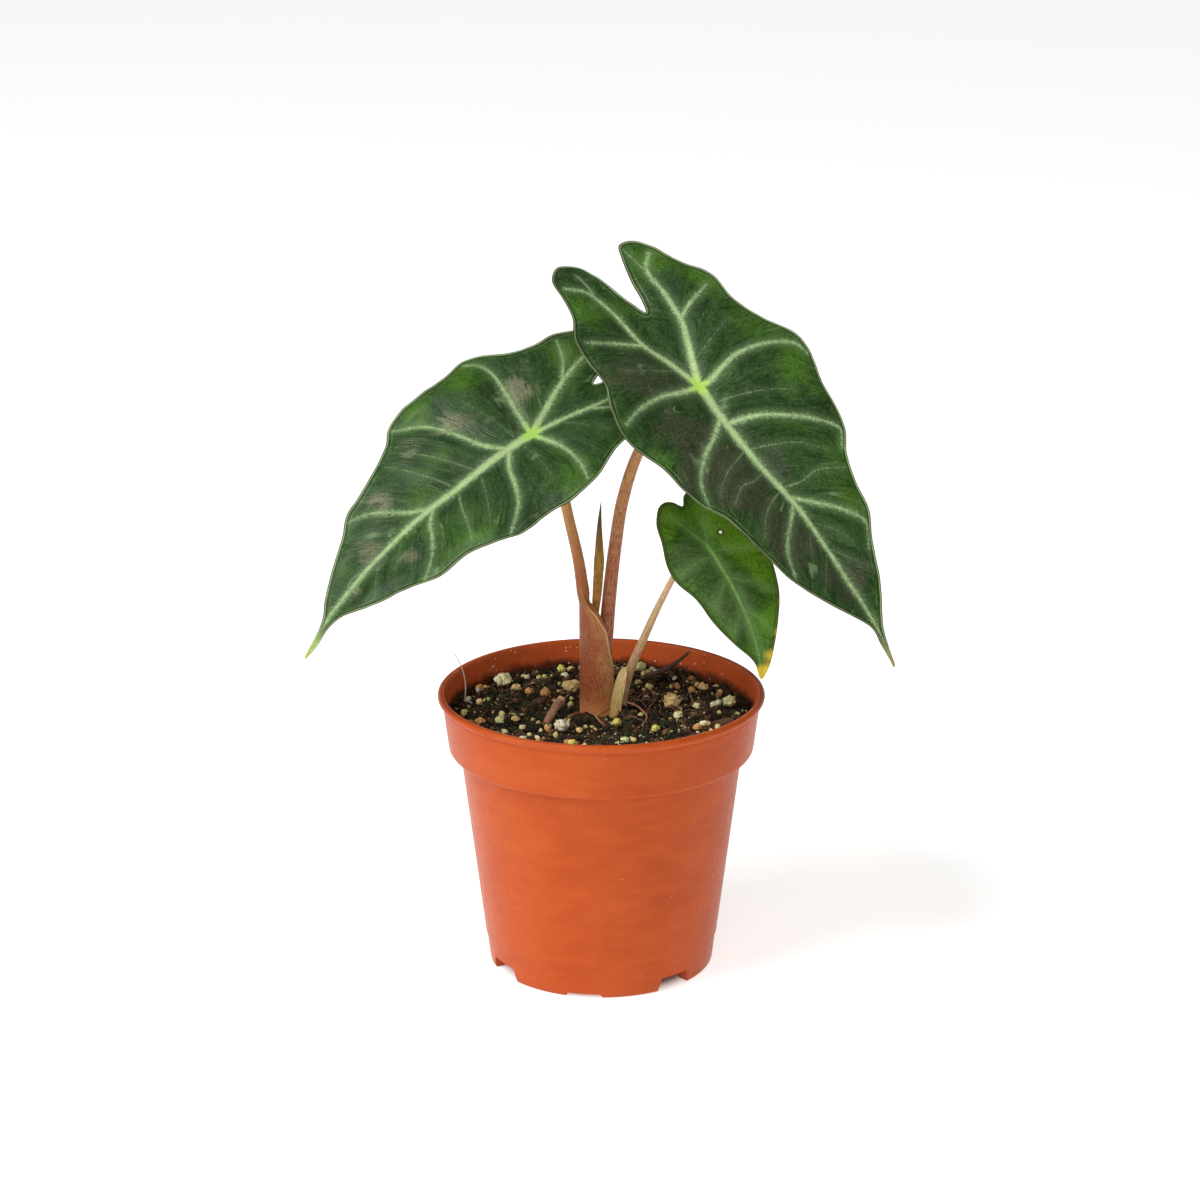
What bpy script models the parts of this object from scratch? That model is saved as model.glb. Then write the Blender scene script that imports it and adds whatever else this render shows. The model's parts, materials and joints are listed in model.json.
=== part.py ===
"""Potted alocasia: an injection-moulded nursery pot, its soil, and a young plant with three leaves.

Metres, +Z up, the floor at z = 0, the pot's axis on the world Z axis and the front towards -Y.
Every size below is in millimetres and is turned into metres by MM.
"""

import math
import random

import bmesh
import bpy
import numpy as np
from mathutils import Vector

MM = 0.001
GAP = 0.3  # clearance between two pieces that touch

# Pot
POT_HEIGHT = 96.0
RIM_RADIUS = 55.0
POT_WALL = 1.1
BEAD_HEIGHT = 2.4
BEAD_REACH = 1.5  # how far the rolled lip stands out from the collar
COLLAR_HEIGHT = 17.5
COLLAR_TAPER = 0.13  # radius lost per millimetre down the collar
COLLAR_STEP = 3.6  # how far the collar overhangs the body
BASE_RADIUS = 38.0
FOOT_HEIGHT = 5.0
FOOT_WIDTH = 4.4
SKIRT_HEIGHT = 10.0  # the faint mould line above the foot
SKIRT_STEP = 0.25
FLOOR_THICKNESS = 1.5
POT_SEGMENTS = 72

# Notches in the foot: (middle angle from +X in degrees, width across the foot, height)
FOOT_NOTCHES = (
    (-50.0, 12.5, 4.8),
    (-149.5, 14.0, 4.8),
    (30.5, 14.0, 4.8),
    (130.0, 12.5, 4.8),
    (-98.7, 12.4, 1.4),
    (81.3, 12.4, 1.4),
)
NOTCH_SPLAY = 1.5  # how much wider a notch is at the floor than at its top
DRAIN_RADIUS = 4.0
DRAIN_CIRCLE = 26.0

# Soil
SOIL_BELOW_RIM = 8.5
SOIL_LUMP = 0.7
SOIL_SEGMENTS = 48
SOIL_RINGS = 13
SOIL_TOP = POT_HEIGHT - SOIL_BELOW_RIM

# Plant, in the pot's frame with heights above the soil's top
PETIOLE_DEPTH = 3.5  # how deep the petioles stand in the soil
COLUMN_CENTRE = (-1.4, 1.0)
RIGHT_PETIOLE_RADIUS = 2.5
LEFT_PETIOLE_RADIUS = 2.1
SMALL_PETIOLE_RADIUS = 1.9
SPIKE_RADIUS = 0.75
SPIKE_FLATNESS = 0.6  # depth over width
SHEATH_WALL = 0.8
SHEATH_BACK = 3.1  # thickness of the sheath where it becomes the petiole
RHIZOME_RADIUS = 8.5
RHIZOME_LENGTH = 24.0
BLADE_THICKNESS = 0.7
TUBE_SIDES = 14


def material(name, colour, roughness, metallic=0.0):
    made = bpy.data.materials.new(name)
    made.use_nodes = True
    made.diffuse_color = (*colour, 1.0)
    shader = made.node_tree.nodes["Principled BSDF"]
    shader.inputs["Base Color"].default_value = (*colour, 1.0)
    shader.inputs["Roughness"].default_value = roughness
    shader.inputs["Metallic"].default_value = metallic
    return made


def add_object(name, mesh, mat):
    placed = bpy.data.objects.new(name, mesh)
    bpy.context.scene.collection.objects.link(placed)
    if mat:
        mesh.materials.append(mat)
    return placed


def mesh_object(name, points, faces, mat, smooth=True):
    """A closed mesh from points in millimetres, its faces turned outward."""
    mesh = bpy.data.meshes.new(name)
    mesh.from_pydata([Vector(p) * MM for p in points], [], faces)
    shell = bmesh.new()
    shell.from_mesh(mesh)
    bmesh.ops.recalc_face_normals(shell, faces=shell.faces)
    shell.to_mesh(mesh)
    shell.free()
    if smooth:
        mesh.shade_smooth()
        mesh.set_sharp_from_angle(angle=math.radians(40))
    return add_object(name, mesh, mat)


def helper(placed):
    placed.hide_render = True
    placed.display_type = "WIRE"
    return placed


def cut(placed, cutter, name):
    boolean = placed.modifiers.new(name, "BOOLEAN")
    boolean.operation = "DIFFERENCE"
    boolean.solver = "EXACT"
    boolean.object = helper(cutter)


def turned(name, profile, mat, segments):
    """A solid of revolution about Z. The profile of (radius, height) runs down its outer side."""
    mesh = bpy.data.meshes.new(name)
    edges = [(i, i + 1) for i in range(len(profile) - 1)]
    mesh.from_pydata([Vector((r, 0, z)) * MM for r, z in profile], edges, [])
    placed = add_object(name, mesh, mat)
    screw = placed.modifiers.new("turn", "SCREW")
    screw.steps = segments
    screw.render_steps = segments
    screw.use_merge_vertices = True
    screw.merge_threshold = 0.00001
    screw.use_smooth_shade = True
    return placed


def catmull(points, count, closed=False):
    """Points of a centripetal Catmull-Rom curve, evenly spaced in its parameter."""
    points = np.array(points, float)
    if closed:
        padded = np.vstack([points[-1], points, points[:2]])
    else:
        first = 2 * points[0] - points[1]
        last = 2 * points[-1] - points[-2]
        padded = np.vstack([first, points, last])
    spans = len(padded) - 3
    out = []
    for t in np.linspace(0, spans, count, endpoint=not closed):
        k = min(int(t), spans - 1)
        p0, p1, p2, p3 = padded[k : k + 4]
        d1 = math.sqrt(max(np.linalg.norm(p1 - p0), 1e-6))
        d2 = math.sqrt(max(np.linalg.norm(p2 - p1), 1e-6))
        d3 = math.sqrt(max(np.linalg.norm(p3 - p2), 1e-6))
        m1 = (p2 - p1) + d2 * ((p1 - p0) / d1 - (p2 - p0) / (d1 + d2))
        m2 = (p2 - p1) + d2 * ((p3 - p2) / d3 - (p3 - p1) / (d2 + d3))
        s = t - k
        a = 2 * s**3 - 3 * s**2 + 1
        b = s**3 - 2 * s**2 + s
        c = -2 * s**3 + 3 * s**2
        d = s**3 - s**2
        out.append(a * p1 + b * m1 + c * p2 + d * m2)
    return np.array(out)


def loft(name, sections, mat):
    """A closed body through rings of equally many points, with a flat face on each end."""
    sides = len(sections[0])
    points = [p for ring in sections for p in ring]
    faces = []
    for k in range(len(sections) - 1):
        for i in range(sides):
            j = (i + 1) % sides
            low = k * sides
            faces.append((low + i, low + j, low + sides + j, low + sides + i))
    faces.append(tuple(reversed(range(sides))))
    faces.append(tuple(range(len(points) - sides, len(points))))
    return mesh_object(name, points, faces, mat)


def round_sections(path, radii, sides=TUBE_SIDES, flat=1.0):
    """Rings square to a path. flat is the rings' depth over their width."""
    path = np.array(path, float)
    tangents = np.gradient(path, axis=0)
    tangents /= np.linalg.norm(tangents, axis=1)[:, None]
    across = np.array((1.0, 0.0, 0.0))
    rings = []
    for centre, tangent, radius in zip(path, tangents, radii):
        across = across - tangent * (across @ tangent)
        across /= np.linalg.norm(across)
        other = np.cross(tangent, across)
        turn = [2 * math.pi * i / sides for i in range(sides)]
        rings.append(
            [
                centre + radius * (math.cos(a) * across + flat * math.sin(a) * other)
                for a in turn
            ]
        )
    return rings


def tube(name, route, radii, mat, count, sides=TUBE_SIDES, flat=1.0):
    """A tapering tube along a smooth curve through the route's own points."""
    path = catmull(route, count)
    widths = np.interp(np.linspace(0, 1, count), np.linspace(0, 1, len(radii)), radii)
    return loft(name, round_sections(path, widths, sides, flat), mat)


# The pot


COLLAR_TOP = POT_HEIGHT - BEAD_HEIGHT
COLLAR_BOTTOM = COLLAR_TOP - COLLAR_HEIGHT
COLLAR_TOP_RADIUS = RIM_RADIUS - BEAD_REACH
COLLAR_BOTTOM_RADIUS = COLLAR_TOP_RADIUS - COLLAR_TAPER * COLLAR_HEIGHT
BODY_TOP_RADIUS = COLLAR_BOTTOM_RADIUS - COLLAR_STEP
FLOOR_TOP = FOOT_HEIGHT + FLOOR_THICKNESS


def inner_profile():
    """(radius, height) down the inside of the pot's wall, from the mouth to the floor."""
    shelf = COLLAR_BOTTOM + POT_WALL * 0.2
    return [
        (COLLAR_TOP_RADIUS - POT_WALL + 0.2, COLLAR_TOP),
        (COLLAR_BOTTOM_RADIUS - POT_WALL, shelf + 1.5),
        (BODY_TOP_RADIUS - POT_WALL, shelf),
        (skirt_radius() - POT_WALL, SKIRT_HEIGHT),
        (skirt_radius() - POT_WALL - 1.6, FLOOR_TOP),
    ]


def skirt_radius():
    return BASE_RADIUS + (BODY_TOP_RADIUS - BASE_RADIUS) * SKIRT_HEIGHT / COLLAR_BOTTOM


def lip_profile():
    """The rolled lip: half a turn of the bead from the inner wall over to the collar."""
    half = BEAD_HEIGHT / 2
    middle = RIM_RADIUS - half
    points = [(COLLAR_TOP_RADIUS - POT_WALL + 0.2, POT_HEIGHT - 0.35 * half)]
    for step in range(6):
        turn = math.radians(100 - 35 * step)
        points.append((middle + half * math.cos(turn), POT_HEIGHT - half + half * math.sin(turn)))
    return points


def make_pot(mat):
    inner = inner_profile()
    outer = [
        (COLLAR_TOP_RADIUS, COLLAR_TOP - 0.2),
        (COLLAR_BOTTOM_RADIUS + 0.15, COLLAR_BOTTOM + 0.6),
        (COLLAR_BOTTOM_RADIUS - 0.3, COLLAR_BOTTOM),
        (BODY_TOP_RADIUS, COLLAR_BOTTOM - 0.9),
        (skirt_radius() + SKIRT_STEP, SKIRT_HEIGHT + 0.2),
        (skirt_radius(), SKIRT_HEIGHT),
        (BASE_RADIUS + 0.1, 0.8),
        (BASE_RADIUS - 0.7, 0.0),
        (BASE_RADIUS - FOOT_WIDTH, 0.0),
        (BASE_RADIUS - FOOT_WIDTH - 0.6, FOOT_HEIGHT),
        (0.0, FOOT_HEIGHT),
    ]
    profile = [(0.0, FLOOR_TOP)] + inner[::-1] + lip_profile() + outer
    pot = turned("pot", profile, mat, POT_SEGMENTS)
    for number, (angle, width, height) in enumerate(FOOT_NOTCHES):
        cut(pot, notch_cutter(f"notch_{number}", angle, width, height), f"notch {number}")
        if height > FOOT_HEIGHT / 2:
            cut(pot, drain_cutter(f"drain_{number}", angle), f"drain {number}")


def notch_cutter(name, angle, width, height):
    """A wedge that opens the foot from the outside to under the floor, wider at the bottom."""
    near = BASE_RADIUS - FOOT_WIDTH - 1.5
    far = BASE_RADIUS + 4
    turn = math.radians(angle)
    points = []
    for radius in (near, far):
        for half, z in (
            (width / 2 + NOTCH_SPLAY / 2, -1.0),
            (width / 2 - NOTCH_SPLAY / 2, height),
        ):
            for side in (-1, 1):
                x = radius * math.cos(turn) - side * half * math.sin(turn)
                y = radius * math.sin(turn) + side * half * math.cos(turn)
                points.append((x, y, z))
    faces = [(0, 1, 3, 2), (4, 6, 7, 5), (0, 4, 5, 1), (2, 3, 7, 6), (0, 2, 6, 4), (1, 5, 7, 3)]
    return mesh_object(name, points, faces, None, smooth=False)


def drain_cutter(name, angle):
    turn = math.radians(angle)
    centre = (DRAIN_CIRCLE * math.cos(turn), DRAIN_CIRCLE * math.sin(turn))
    rings = []
    for z in (FOOT_HEIGHT - 1, FLOOR_TOP + 1):
        rings.append(
            [
                (centre[0] + DRAIN_RADIUS * math.cos(a), centre[1] + DRAIN_RADIUS * math.sin(a), z)
                for a in np.linspace(0, 2 * math.pi, 16, endpoint=False)
            ]
        )
    return loft(name, rings, None)


# The soil


def soil_radius(z):
    """The soil's radius at a height: the pot's inner wall less the gap."""
    profile = inner_profile()[::-1]
    return float(np.interp(z, [p[1] for p in profile], [p[0] for p in profile])) - GAP


def soil_height(x, y):
    """The height of the lumpy soil surface, a little lower at the wall than round the crown."""
    reach = math.hypot(x, y) / soil_radius(SOIL_TOP)
    lumps = math.sin(0.55 * x + 0.8) * math.cos(0.47 * y - 0.4)
    lumps += 0.6 * math.sin(0.83 * y + 0.31 * x + 2.0)
    fall = 0.5 * reach**2
    return SOIL_TOP + 0.6 + SOIL_LUMP * lumps * (1 - 0.5 * reach) - fall


def make_soil(mat):
    top_radius = soil_radius(SOIL_TOP - 1)
    points = [(0.0, 0.0, soil_height(0, 0))]
    turns = [2 * math.pi * i / SOIL_SEGMENTS for i in range(SOIL_SEGMENTS)]
    rings = []
    for ring in range(1, SOIL_RINGS + 1):
        radius = top_radius * ring / SOIL_RINGS
        rings.append([(radius * math.cos(a), radius * math.sin(a)) for a in turns])
    for ring in rings:
        points += [(x, y, soil_height(x, y)) for x, y in ring]
    levels = [p[1] for p in inner_profile()[1:-1]] + [FLOOR_TOP + GAP]
    for z in levels:
        radius = soil_radius(z)
        points += [(radius * math.cos(a), radius * math.sin(a), z) for a in turns]
    faces = [(0, 1 + i, 1 + (i + 1) % SOIL_SEGMENTS) for i in range(SOIL_SEGMENTS)]
    for ring in range(SOIL_RINGS + len(levels) - 1):
        low = 1 + ring * SOIL_SEGMENTS
        for i in range(SOIL_SEGMENTS):
            j = (i + 1) % SOIL_SEGMENTS
            faces.append((low + i, low + SOIL_SEGMENTS + i, low + SOIL_SEGMENTS + j, low + j))
    faces.append(tuple(len(points) - SOIL_SEGMENTS + i for i in range(SOIL_SEGMENTS)))
    soil = mesh_object("soil", points, faces, mat)
    cut(soil, crown_cutter(), "plant pocket")
    cut(soil, small_cutter(), "small petiole pocket")
    return soil


# The plant's crown: a sheath that wraps the next petiole and the new leaf's spike

CAVITY_RADIUS = RIGHT_PETIOLE_RADIUS + SPIKE_RADIUS + 2.2 * GAP
COLUMN_RADIUS = (2 * CAVITY_RADIUS + SHEATH_WALL + SHEATH_BACK) / 2
CAVITY_CENTRE = (COLUMN_CENTRE[0] + COLUMN_RADIUS - SHEATH_WALL - CAVITY_RADIUS, COLUMN_CENTRE[1])
BASE_Z = SOIL_TOP - PETIOLE_DEPTH


def rhizome_profile(extra):
    """(radius, height) down the buried rhizome, grown by extra all round."""
    top = BASE_Z - GAP
    shape = (
        (0.0, 0.0), (0.58, 0.0), (0.66, 0.1), (0.95, 0.3), (1.0, 0.5), (0.8, 0.78), (0.35, 0.97), (0.0, 1.0),
    )
    points = []
    for radius, depth in shape:
        z = top - depth * RHIZOME_LENGTH + extra * (1 - 2 * depth)
        points.append((radius * RHIZOME_RADIUS + (extra if radius else 0.0), z))
    return points


def make_rhizome(mat):
    rhizome = turned("rhizome", rhizome_profile(0.0), mat, 20)
    rhizome.location = (COLUMN_CENTRE[0] * MM, COLUMN_CENTRE[1] * MM, 0)
    return rhizome


def crown_cutter():
    """The rhizome's pocket in the soil, with the column's shaft above it."""
    shape = rhizome_profile(GAP + 0.1)
    shaft = COLUMN_RADIUS + GAP + 0.2
    high = SOIL_TOP + 12
    profile = [(0.0, high), (shaft, high), (shaft, shape[2][1])] + shape[3:]
    cutter = turned("crown_pocket", profile, None, 28)
    cutter.location = (COLUMN_CENTRE[0] * MM, COLUMN_CENTRE[1] * MM, 0)
    return cutter


def small_cutter():
    base = SMALL_MIDDLE
    reach = SMALL_REACH + GAP
    high = SOIL_TOP + 12
    low = BASE_Z - 2 * GAP
    profile = [(0.0, high), (reach, high), (reach, low), (0.0, low)]
    cutter = turned("small_pocket", profile, None, 20)
    cutter.location = (base[0] * MM, base[1] * MM, 0)
    return cutter


def blade_frame(junction, tip_way, face_way):
    """(junction, along, across, normal) of a leaf: unit vectors, square to one another."""
    along = np.array(tip_way, float)
    along /= np.linalg.norm(along)
    normal = np.array(face_way, float)
    normal -= along * (normal @ along)
    normal /= np.linalg.norm(normal)
    return np.array(junction, float), along, np.cross(normal, along), normal


def blade_height(u, v, leaf):
    """How far the blade's surface stands above its own flat plane."""
    length = leaf["length"]
    arch = 4 * leaf["arch"] * (u / length) * (1 - u / length)
    fold = leaf["fold"] * (math.sqrt(v * v + 4) - 2)
    side = leaf["waves"][0] if v > 0 else leaf["waves"][1]
    wave = side[0] * min(1.2, (v / leaf["half_width"]) ** 2) * math.sin(2 * math.pi * u / side[1] + side[2])
    return arch + fold - leaf["curl"] * v * v + wave


def blade_point(u, v, leaf, under=0.0):
    junction, along, across, normal = leaf["frame"]
    return junction + u * along + v * across + (blade_height(u, v, leaf) - under) * normal


def make_blade(name, leaf, mat):
    """A thin closed blade: rings of the margin shrunk towards the junction, above and below."""
    margin = catmull(leaf["margin"], leaf["samples"], closed=True)
    rings = leaf["rings"]
    count = len(margin)
    points = []
    for under in (0.0, BLADE_THICKNESS):
        points.append(blade_point(0, 0, leaf, under))
        for ring in range(1, rings + 1):
            points += [blade_point(u * ring / rings, v * ring / rings, leaf, under) for u, v in margin]
    faces = []
    layer = 1 + rings * count
    for start in (0, layer):
        for i in range(count):
            j = (i + 1) % count
            triangle = (start, start + 1 + i, start + 1 + j)
            faces.append(triangle)
            for ring in range(rings - 1):
                low = start + 1 + ring * count
                faces.append((low + i, low + count + i, low + count + j, low + j))
    edge = 1 + (rings - 1) * count
    for i in range(count):
        j = (i + 1) % count
        faces.append((edge + i, edge + layer + i, edge + layer + j, edge + j))
    return mesh_object(name, points, faces, mat)


# Leaf margins: (along the midrib, across it) from the junction, anticlockwise seen from above.

RIGHT_MARGIN = (
    (111.4, 0.0), (105.0, 1.8), (98.0, 4.0), (88.5, 9.6), (73.5, 16.5), (64.0, 21.7), (55.0, 23.0),
    (45.0, 26.3), (38.0, 31.4), (30.0, 34.6), (19.0, 36.4), (8.0, 39.8), (0.0, 40.2), (-10.0, 35.7),
    (-21.5, 31.8), (-32.0, 32.0), (-42.5, 26.5), (-51.0, 24.5), (-57.0, 20.5), (-58.0, 15.5),
    (-53.5, 12.5), (-44.0, 8.5), (-36.0, 6.2), (-31.7, 4.2), (-38.5, 2.6), (-52.0, 0.8), (-58.5, -2.0),
    (-61.2, -8.0), (-57.5, -14.7), (-50.0, -17.5), (-42.0, -20.5), (-33.5, -27.0), (-25.0, -29.0),
    (-15.0, -30.5), (-6.5, -35.7), (3.0, -38.5), (10.5, -37.0), (18.5, -34.0), (29.0, -33.6),
    (37.0, -31.3), (43.0, -27.0), (52.0, -24.0), (62.5, -22.0), (71.0, -19.5), (79.5, -14.3),
    (88.5, -7.4), (97.2, -0.3), (103.5, -0.3),
)

LEFT_MARGIN = (
    (106.6, 0.0), (101.0, 0.6), (94.2, -0.5), (89.0, 0.8), (79.5, 8.3), (68.3, 14.6), (60.0, 19.8),
    (49.0, 21.6), (40.0, 26.0), (32.4, 30.2), (21.3, 30.7), (11.0, 33.0), (0.5, 32.6), (-8.0, 29.2),
    (-14.5, 27.0), (-25.0, 25.5), (-36.0, 22.0), (-45.0, 17.5), (-49.0, 11.0), (-45.5, 5.5),
    (-37.0, 1.5), (-29.2, -1.5), (-37.0, -4.5), (-46.0, -7.5), (-51.5, -12.5), (-49.5, -19.0),
    (-41.0, -22.2), (-34.6, -25.4), (-26.4, -26.2), (-18.5, -29.6), (-11.5, -36.0), (-5.4, -38.2),
    (4.2, -36.7), (14.6, -37.7), (23.0, -38.5), (30.0, -36.5), (35.3, -32.3), (44.6, -27.9),
    (55.8, -24.6), (62.2, -23.3), (68.2, -19.3), (79.0, -13.6), (88.0, -8.2), (93.0, -4.5), (99.5, -2.1),
)

SMALL_MARGIN = (
    (47.1, 0.0), (44.0, 4.0), (37.2, 8.5), (30.0, 12.4), (22.9, 15.6), (15.2, 17.4), (5.0, 18.0),
    (-4.0, 17.0), (-12.0, 14.0), (-18.5, 10.0), (-21.0, 5.0), (-19.5, 1.0), (-16.0, -1.3),
    (-18.5, -3.8), (-19.3, -6.2), (-18.3, -8.8), (-15.8, -10.8), (-12.3, -12.6), (-6.3, -13.8),
    (2.0, -15.9), (8.4, -15.2), (15.7, -11.7), (24.9, -9.2), (33.7, -5.0), (41.5, -0.4),
)

# Petiole routes: (x, y, height above the soil's top) up to the blade's underside.

RIGHT_ROUTE = (
    (-0.2, 1.0, -3.5), (0.3, 1.0, 8.0), (1.0, 1.2, 18.0), (1.8, 2.2, 30.0), (3.0, 4.0, 43.5),
    (4.5, 6.0, 56.5), (7.2, 7.6, 73.0), (12.1, 8.0, 88.5), (20.0, 4.6, 103.0), (31.2, -3.4, 113.8),
)
RIGHT_RADII = (1.0, 1.0, 0.99, 0.97, 0.93, 0.88, 0.84, 0.74, 0.68, 0.6)

LEFT_ROUTE = (
    (-6.0, 1.6, 42.0), (-7.6, 3.4, 53.0), (-10.6, 5.6, 66.0), (-13.2, 7.0, 77.0),
    (-17.2, 6.4, 88.0), (-22.5, 3.4, 95.6),
)
LEFT_RADII = (1.0, 0.9, 0.84, 0.84, 0.8, 0.72)

SMALL_ROUTE = (
    (6.5, -3.0, -3.5), (6.9, -3.0, 5.0), (8.9, -3.2, 14.5), (14.4, -5.0, 29.0),
    (20.3, -7.8, 43.5), (26.8, -10.6, 56.0), (34.6, -13.0, 62.7),
)
SMALL_RADII = (1.0, 0.95, 0.85, 0.7, 0.58, 0.53, 0.5)

# The spike's x is measured from the left side of the right petiole's foot.
SPIKE_SIDE = RIGHT_ROUTE[0][0] - RIGHT_PETIOLE_RADIUS
SPIKE_ROUTE = (
    (-0.25, 1.0, 9.0), (0.2, 0.6, 24.0), (0.7, 0.0, 35.0), (1.4, -0.4, 44.0),
    (1.95, -0.4, 54.0), (2.1, -0.1, 66.0), (2.6, 0.6, 74.3),
)
SPIKE_RADII = (0.9, 1.1, 1.5, 2.1, 2.3, 1.0, 0.1)
STUB_WALL = 0.6
STUB_OFFSET = (-0.9, -1.3)  # from the small petiole to the middle of the stub's curve
STUB_SIDE = 226  # degrees: the side of the petiole that the stub is on


SMALL_MIDDLE = (SMALL_ROUTE[0][0] + STUB_OFFSET[0] / 2, SMALL_ROUTE[0][1] + STUB_OFFSET[1] / 2)
SMALL_REACH = SMALL_PETIOLE_RADIUS + 2 * GAP + STUB_WALL + math.hypot(*STUB_OFFSET) / 2


def raised(route):
    return [(x, y, SOIL_TOP + z) for x, y, z in route]


def leaf_of(route, tip_way, face_way, margin, **shape):
    """A leaf's values. Its junction stands a gap above the end of its petiole's route."""
    end = np.array(raised(route)[-1])
    frame = blade_frame(end, tip_way, face_way)
    lift = BLADE_THICKNESS + GAP + 0.5
    junction = end + frame[3] * lift
    widest = max(abs(v) for _, v in margin)
    shape.update(frame=(junction, *frame[1:]), margin=margin, length=margin[0][0], half_width=widest)
    return shape


def sheath_sections():
    """Rings of the left petiole: a wrapping sheath that opens and closes up into a round stalk.

    Each ring is an eccentric crescent given by how far its two wings reach round from the left.
    """
    wings = (
        # height above the soil, front wing, back wing (degrees)
        (-PETIOLE_DEPTH, 205, 125), (8.0, 203, 123), (13.0, 190, 118), (17.0, 168, 110),
        (22.0, 143, 98), (26.0, 134, 90), (30.0, 125, 80), (33.5, 104, 66), (36.5, 86, 50), (38.5, 66, 36),
    )
    arc_points = 11
    rings = []
    for height, front, back in wings:
        angles = np.radians(np.linspace(180 + front, 180 - back, arc_points))
        lean = 0.02 * max(0.0, height)
        outer = [
            (
                COLUMN_CENTRE[0] - lean * 0.2 + COLUMN_RADIUS * math.cos(a),
                COLUMN_CENTRE[1] + COLUMN_RADIUS * math.sin(a),
                SOIL_TOP + height,
            )
            for a in angles
        ]
        inner = [
            (
                CAVITY_CENTRE[0] - lean * 0.2 + CAVITY_RADIUS * math.cos(a),
                CAVITY_CENTRE[1] + CAVITY_RADIUS * math.sin(a),
                SOIL_TOP + height,
            )
            for a in angles[::-1]
        ]
        rings.append(outer + inner)
    return rings


def left_petiole_sections():
    rings = sheath_sections()
    sides = len(rings[0])
    count = 14
    path = catmull(raised(LEFT_ROUTE), count)
    shares = np.interp(np.linspace(0, 1, count), np.linspace(0, 1, len(LEFT_RADII)), LEFT_RADII)
    tangents = np.gradient(path, axis=0)
    across = np.array((1.0, 0.0, 0.0))
    for centre, tangent, share in zip(path, tangents, shares):
        tangent = tangent / np.linalg.norm(tangent)
        across = across - tangent * (across @ tangent)
        across /= np.linalg.norm(across)
        other = np.cross(tangent, across)
        radius = share * LEFT_PETIOLE_RADIUS
        turns = np.radians(np.linspace(270 - 8, 90 + 8, sides // 2))
        turns = np.concatenate([turns, np.radians(np.linspace(90 - 8, -90 + 8, sides // 2))])
        rings.append([centre + radius * (math.cos(a) * across + math.sin(a) * other) for a in turns])
    return rings


def make_small_sheath(mat):
    """The dry sheath stub that hugs the small petiole's front left side."""
    inside = SMALL_PETIOLE_RADIUS + 2 * GAP
    route = np.array(SMALL_ROUTE)
    rings = []
    # height above the soil, half spread in degrees, share of the offset from the petiole
    for height, spread, away in (
        (-PETIOLE_DEPTH, 50, 1.0), (4.0, 50, 1.0), (10.0, 46, 0.8), (15.0, 38, 0.6), (18.5, 24, 0.6),
    ):
        x = np.interp(height, route[:, 2], route[:, 0]) + STUB_OFFSET[0] * away
        y = np.interp(height, route[:, 2], route[:, 1]) + STUB_OFFSET[1] * away
        angles = np.radians(np.linspace(STUB_SIDE - spread, STUB_SIDE + spread, 8))
        ring = []
        for radius, order in ((inside + STUB_WALL, angles), (inside, angles[::-1])):
            ring += [(x + radius * math.cos(a), y + radius * math.sin(a), SOIL_TOP + height) for a in order]
        rings.append(ring)
    return loft("small_sheath", rings, mat)


# What lies on the soil


def rests_at(x, y, reach):
    """The height that clears the soil within reach of (x, y)."""
    heights = [soil_height(x, y)]
    for turn in np.linspace(0, 2 * math.pi, 8, endpoint=False):
        for radius in (reach / 2, reach):
            heights.append(soil_height(x + radius * math.cos(turn), y + radius * math.sin(turn)))
    return max(heights) + GAP


def clear_of_crown(x, y, reach):
    """Moves a spot straight out from the crown until a piece of this reach misses the petioles."""
    for centre, keep in ((COLUMN_CENTRE, COLUMN_RADIUS), (SMALL_MIDDLE, SMALL_REACH)):
        dx, dy = x - centre[0], y - centre[1]
        distance = math.hypot(dx, dy)
        wanted = keep + reach + 3 * GAP
        if distance < wanted:
            x, y = centre[0] + dx * wanted / distance, centre[1] + dy * wanted / distance
    return x, y


# Perlite and clay grains: (x, y, half width, half height), in shares of the soil's radius for x and y
GRAINS = (
    (-0.66, 0.49, 3.3, 2.6), (-0.57, 0.40, 1.8, 1.5), (-0.48, 0.32, 1.7, 1.4), (-0.37, 0.26, 2.0, 1.7),
    (-0.27, 0.79, 1.7, 1.5), (-0.20, 0.38, 3.4, 2.2), (-0.26, -0.40, 2.7, 2.4), (0.10, -0.30, 1.8, 1.6),
    (-0.14, -0.42, 1.2, 1.0), (-0.51, -0.37, 1.3, 1.0), (-0.56, -0.18, 1.6, 1.2), (-0.66, -0.24, 2.0, 1.3),
    (-0.79, -0.23, 1.9, 1.4), (-0.80, 0.11, 1.5, 1.3), (-0.19, -0.61, 1.6, 1.2), (0.15, -0.60, 1.7, 1.1),
    (0.26, 0.80, 2.1, 1.8), (0.46, 0.05, 3.2, 2.7), (0.50, -0.16, 1.9, 1.5), (0.63, 0.04, 1.5, 1.3),
    (0.84, 0.09, 2.5, 2.1), (0.68, 0.43, 1.8, 1.5), (0.35, -0.39, 1.7, 1.3), (0.62, -0.37, 1.6, 1.2),
)


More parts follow.
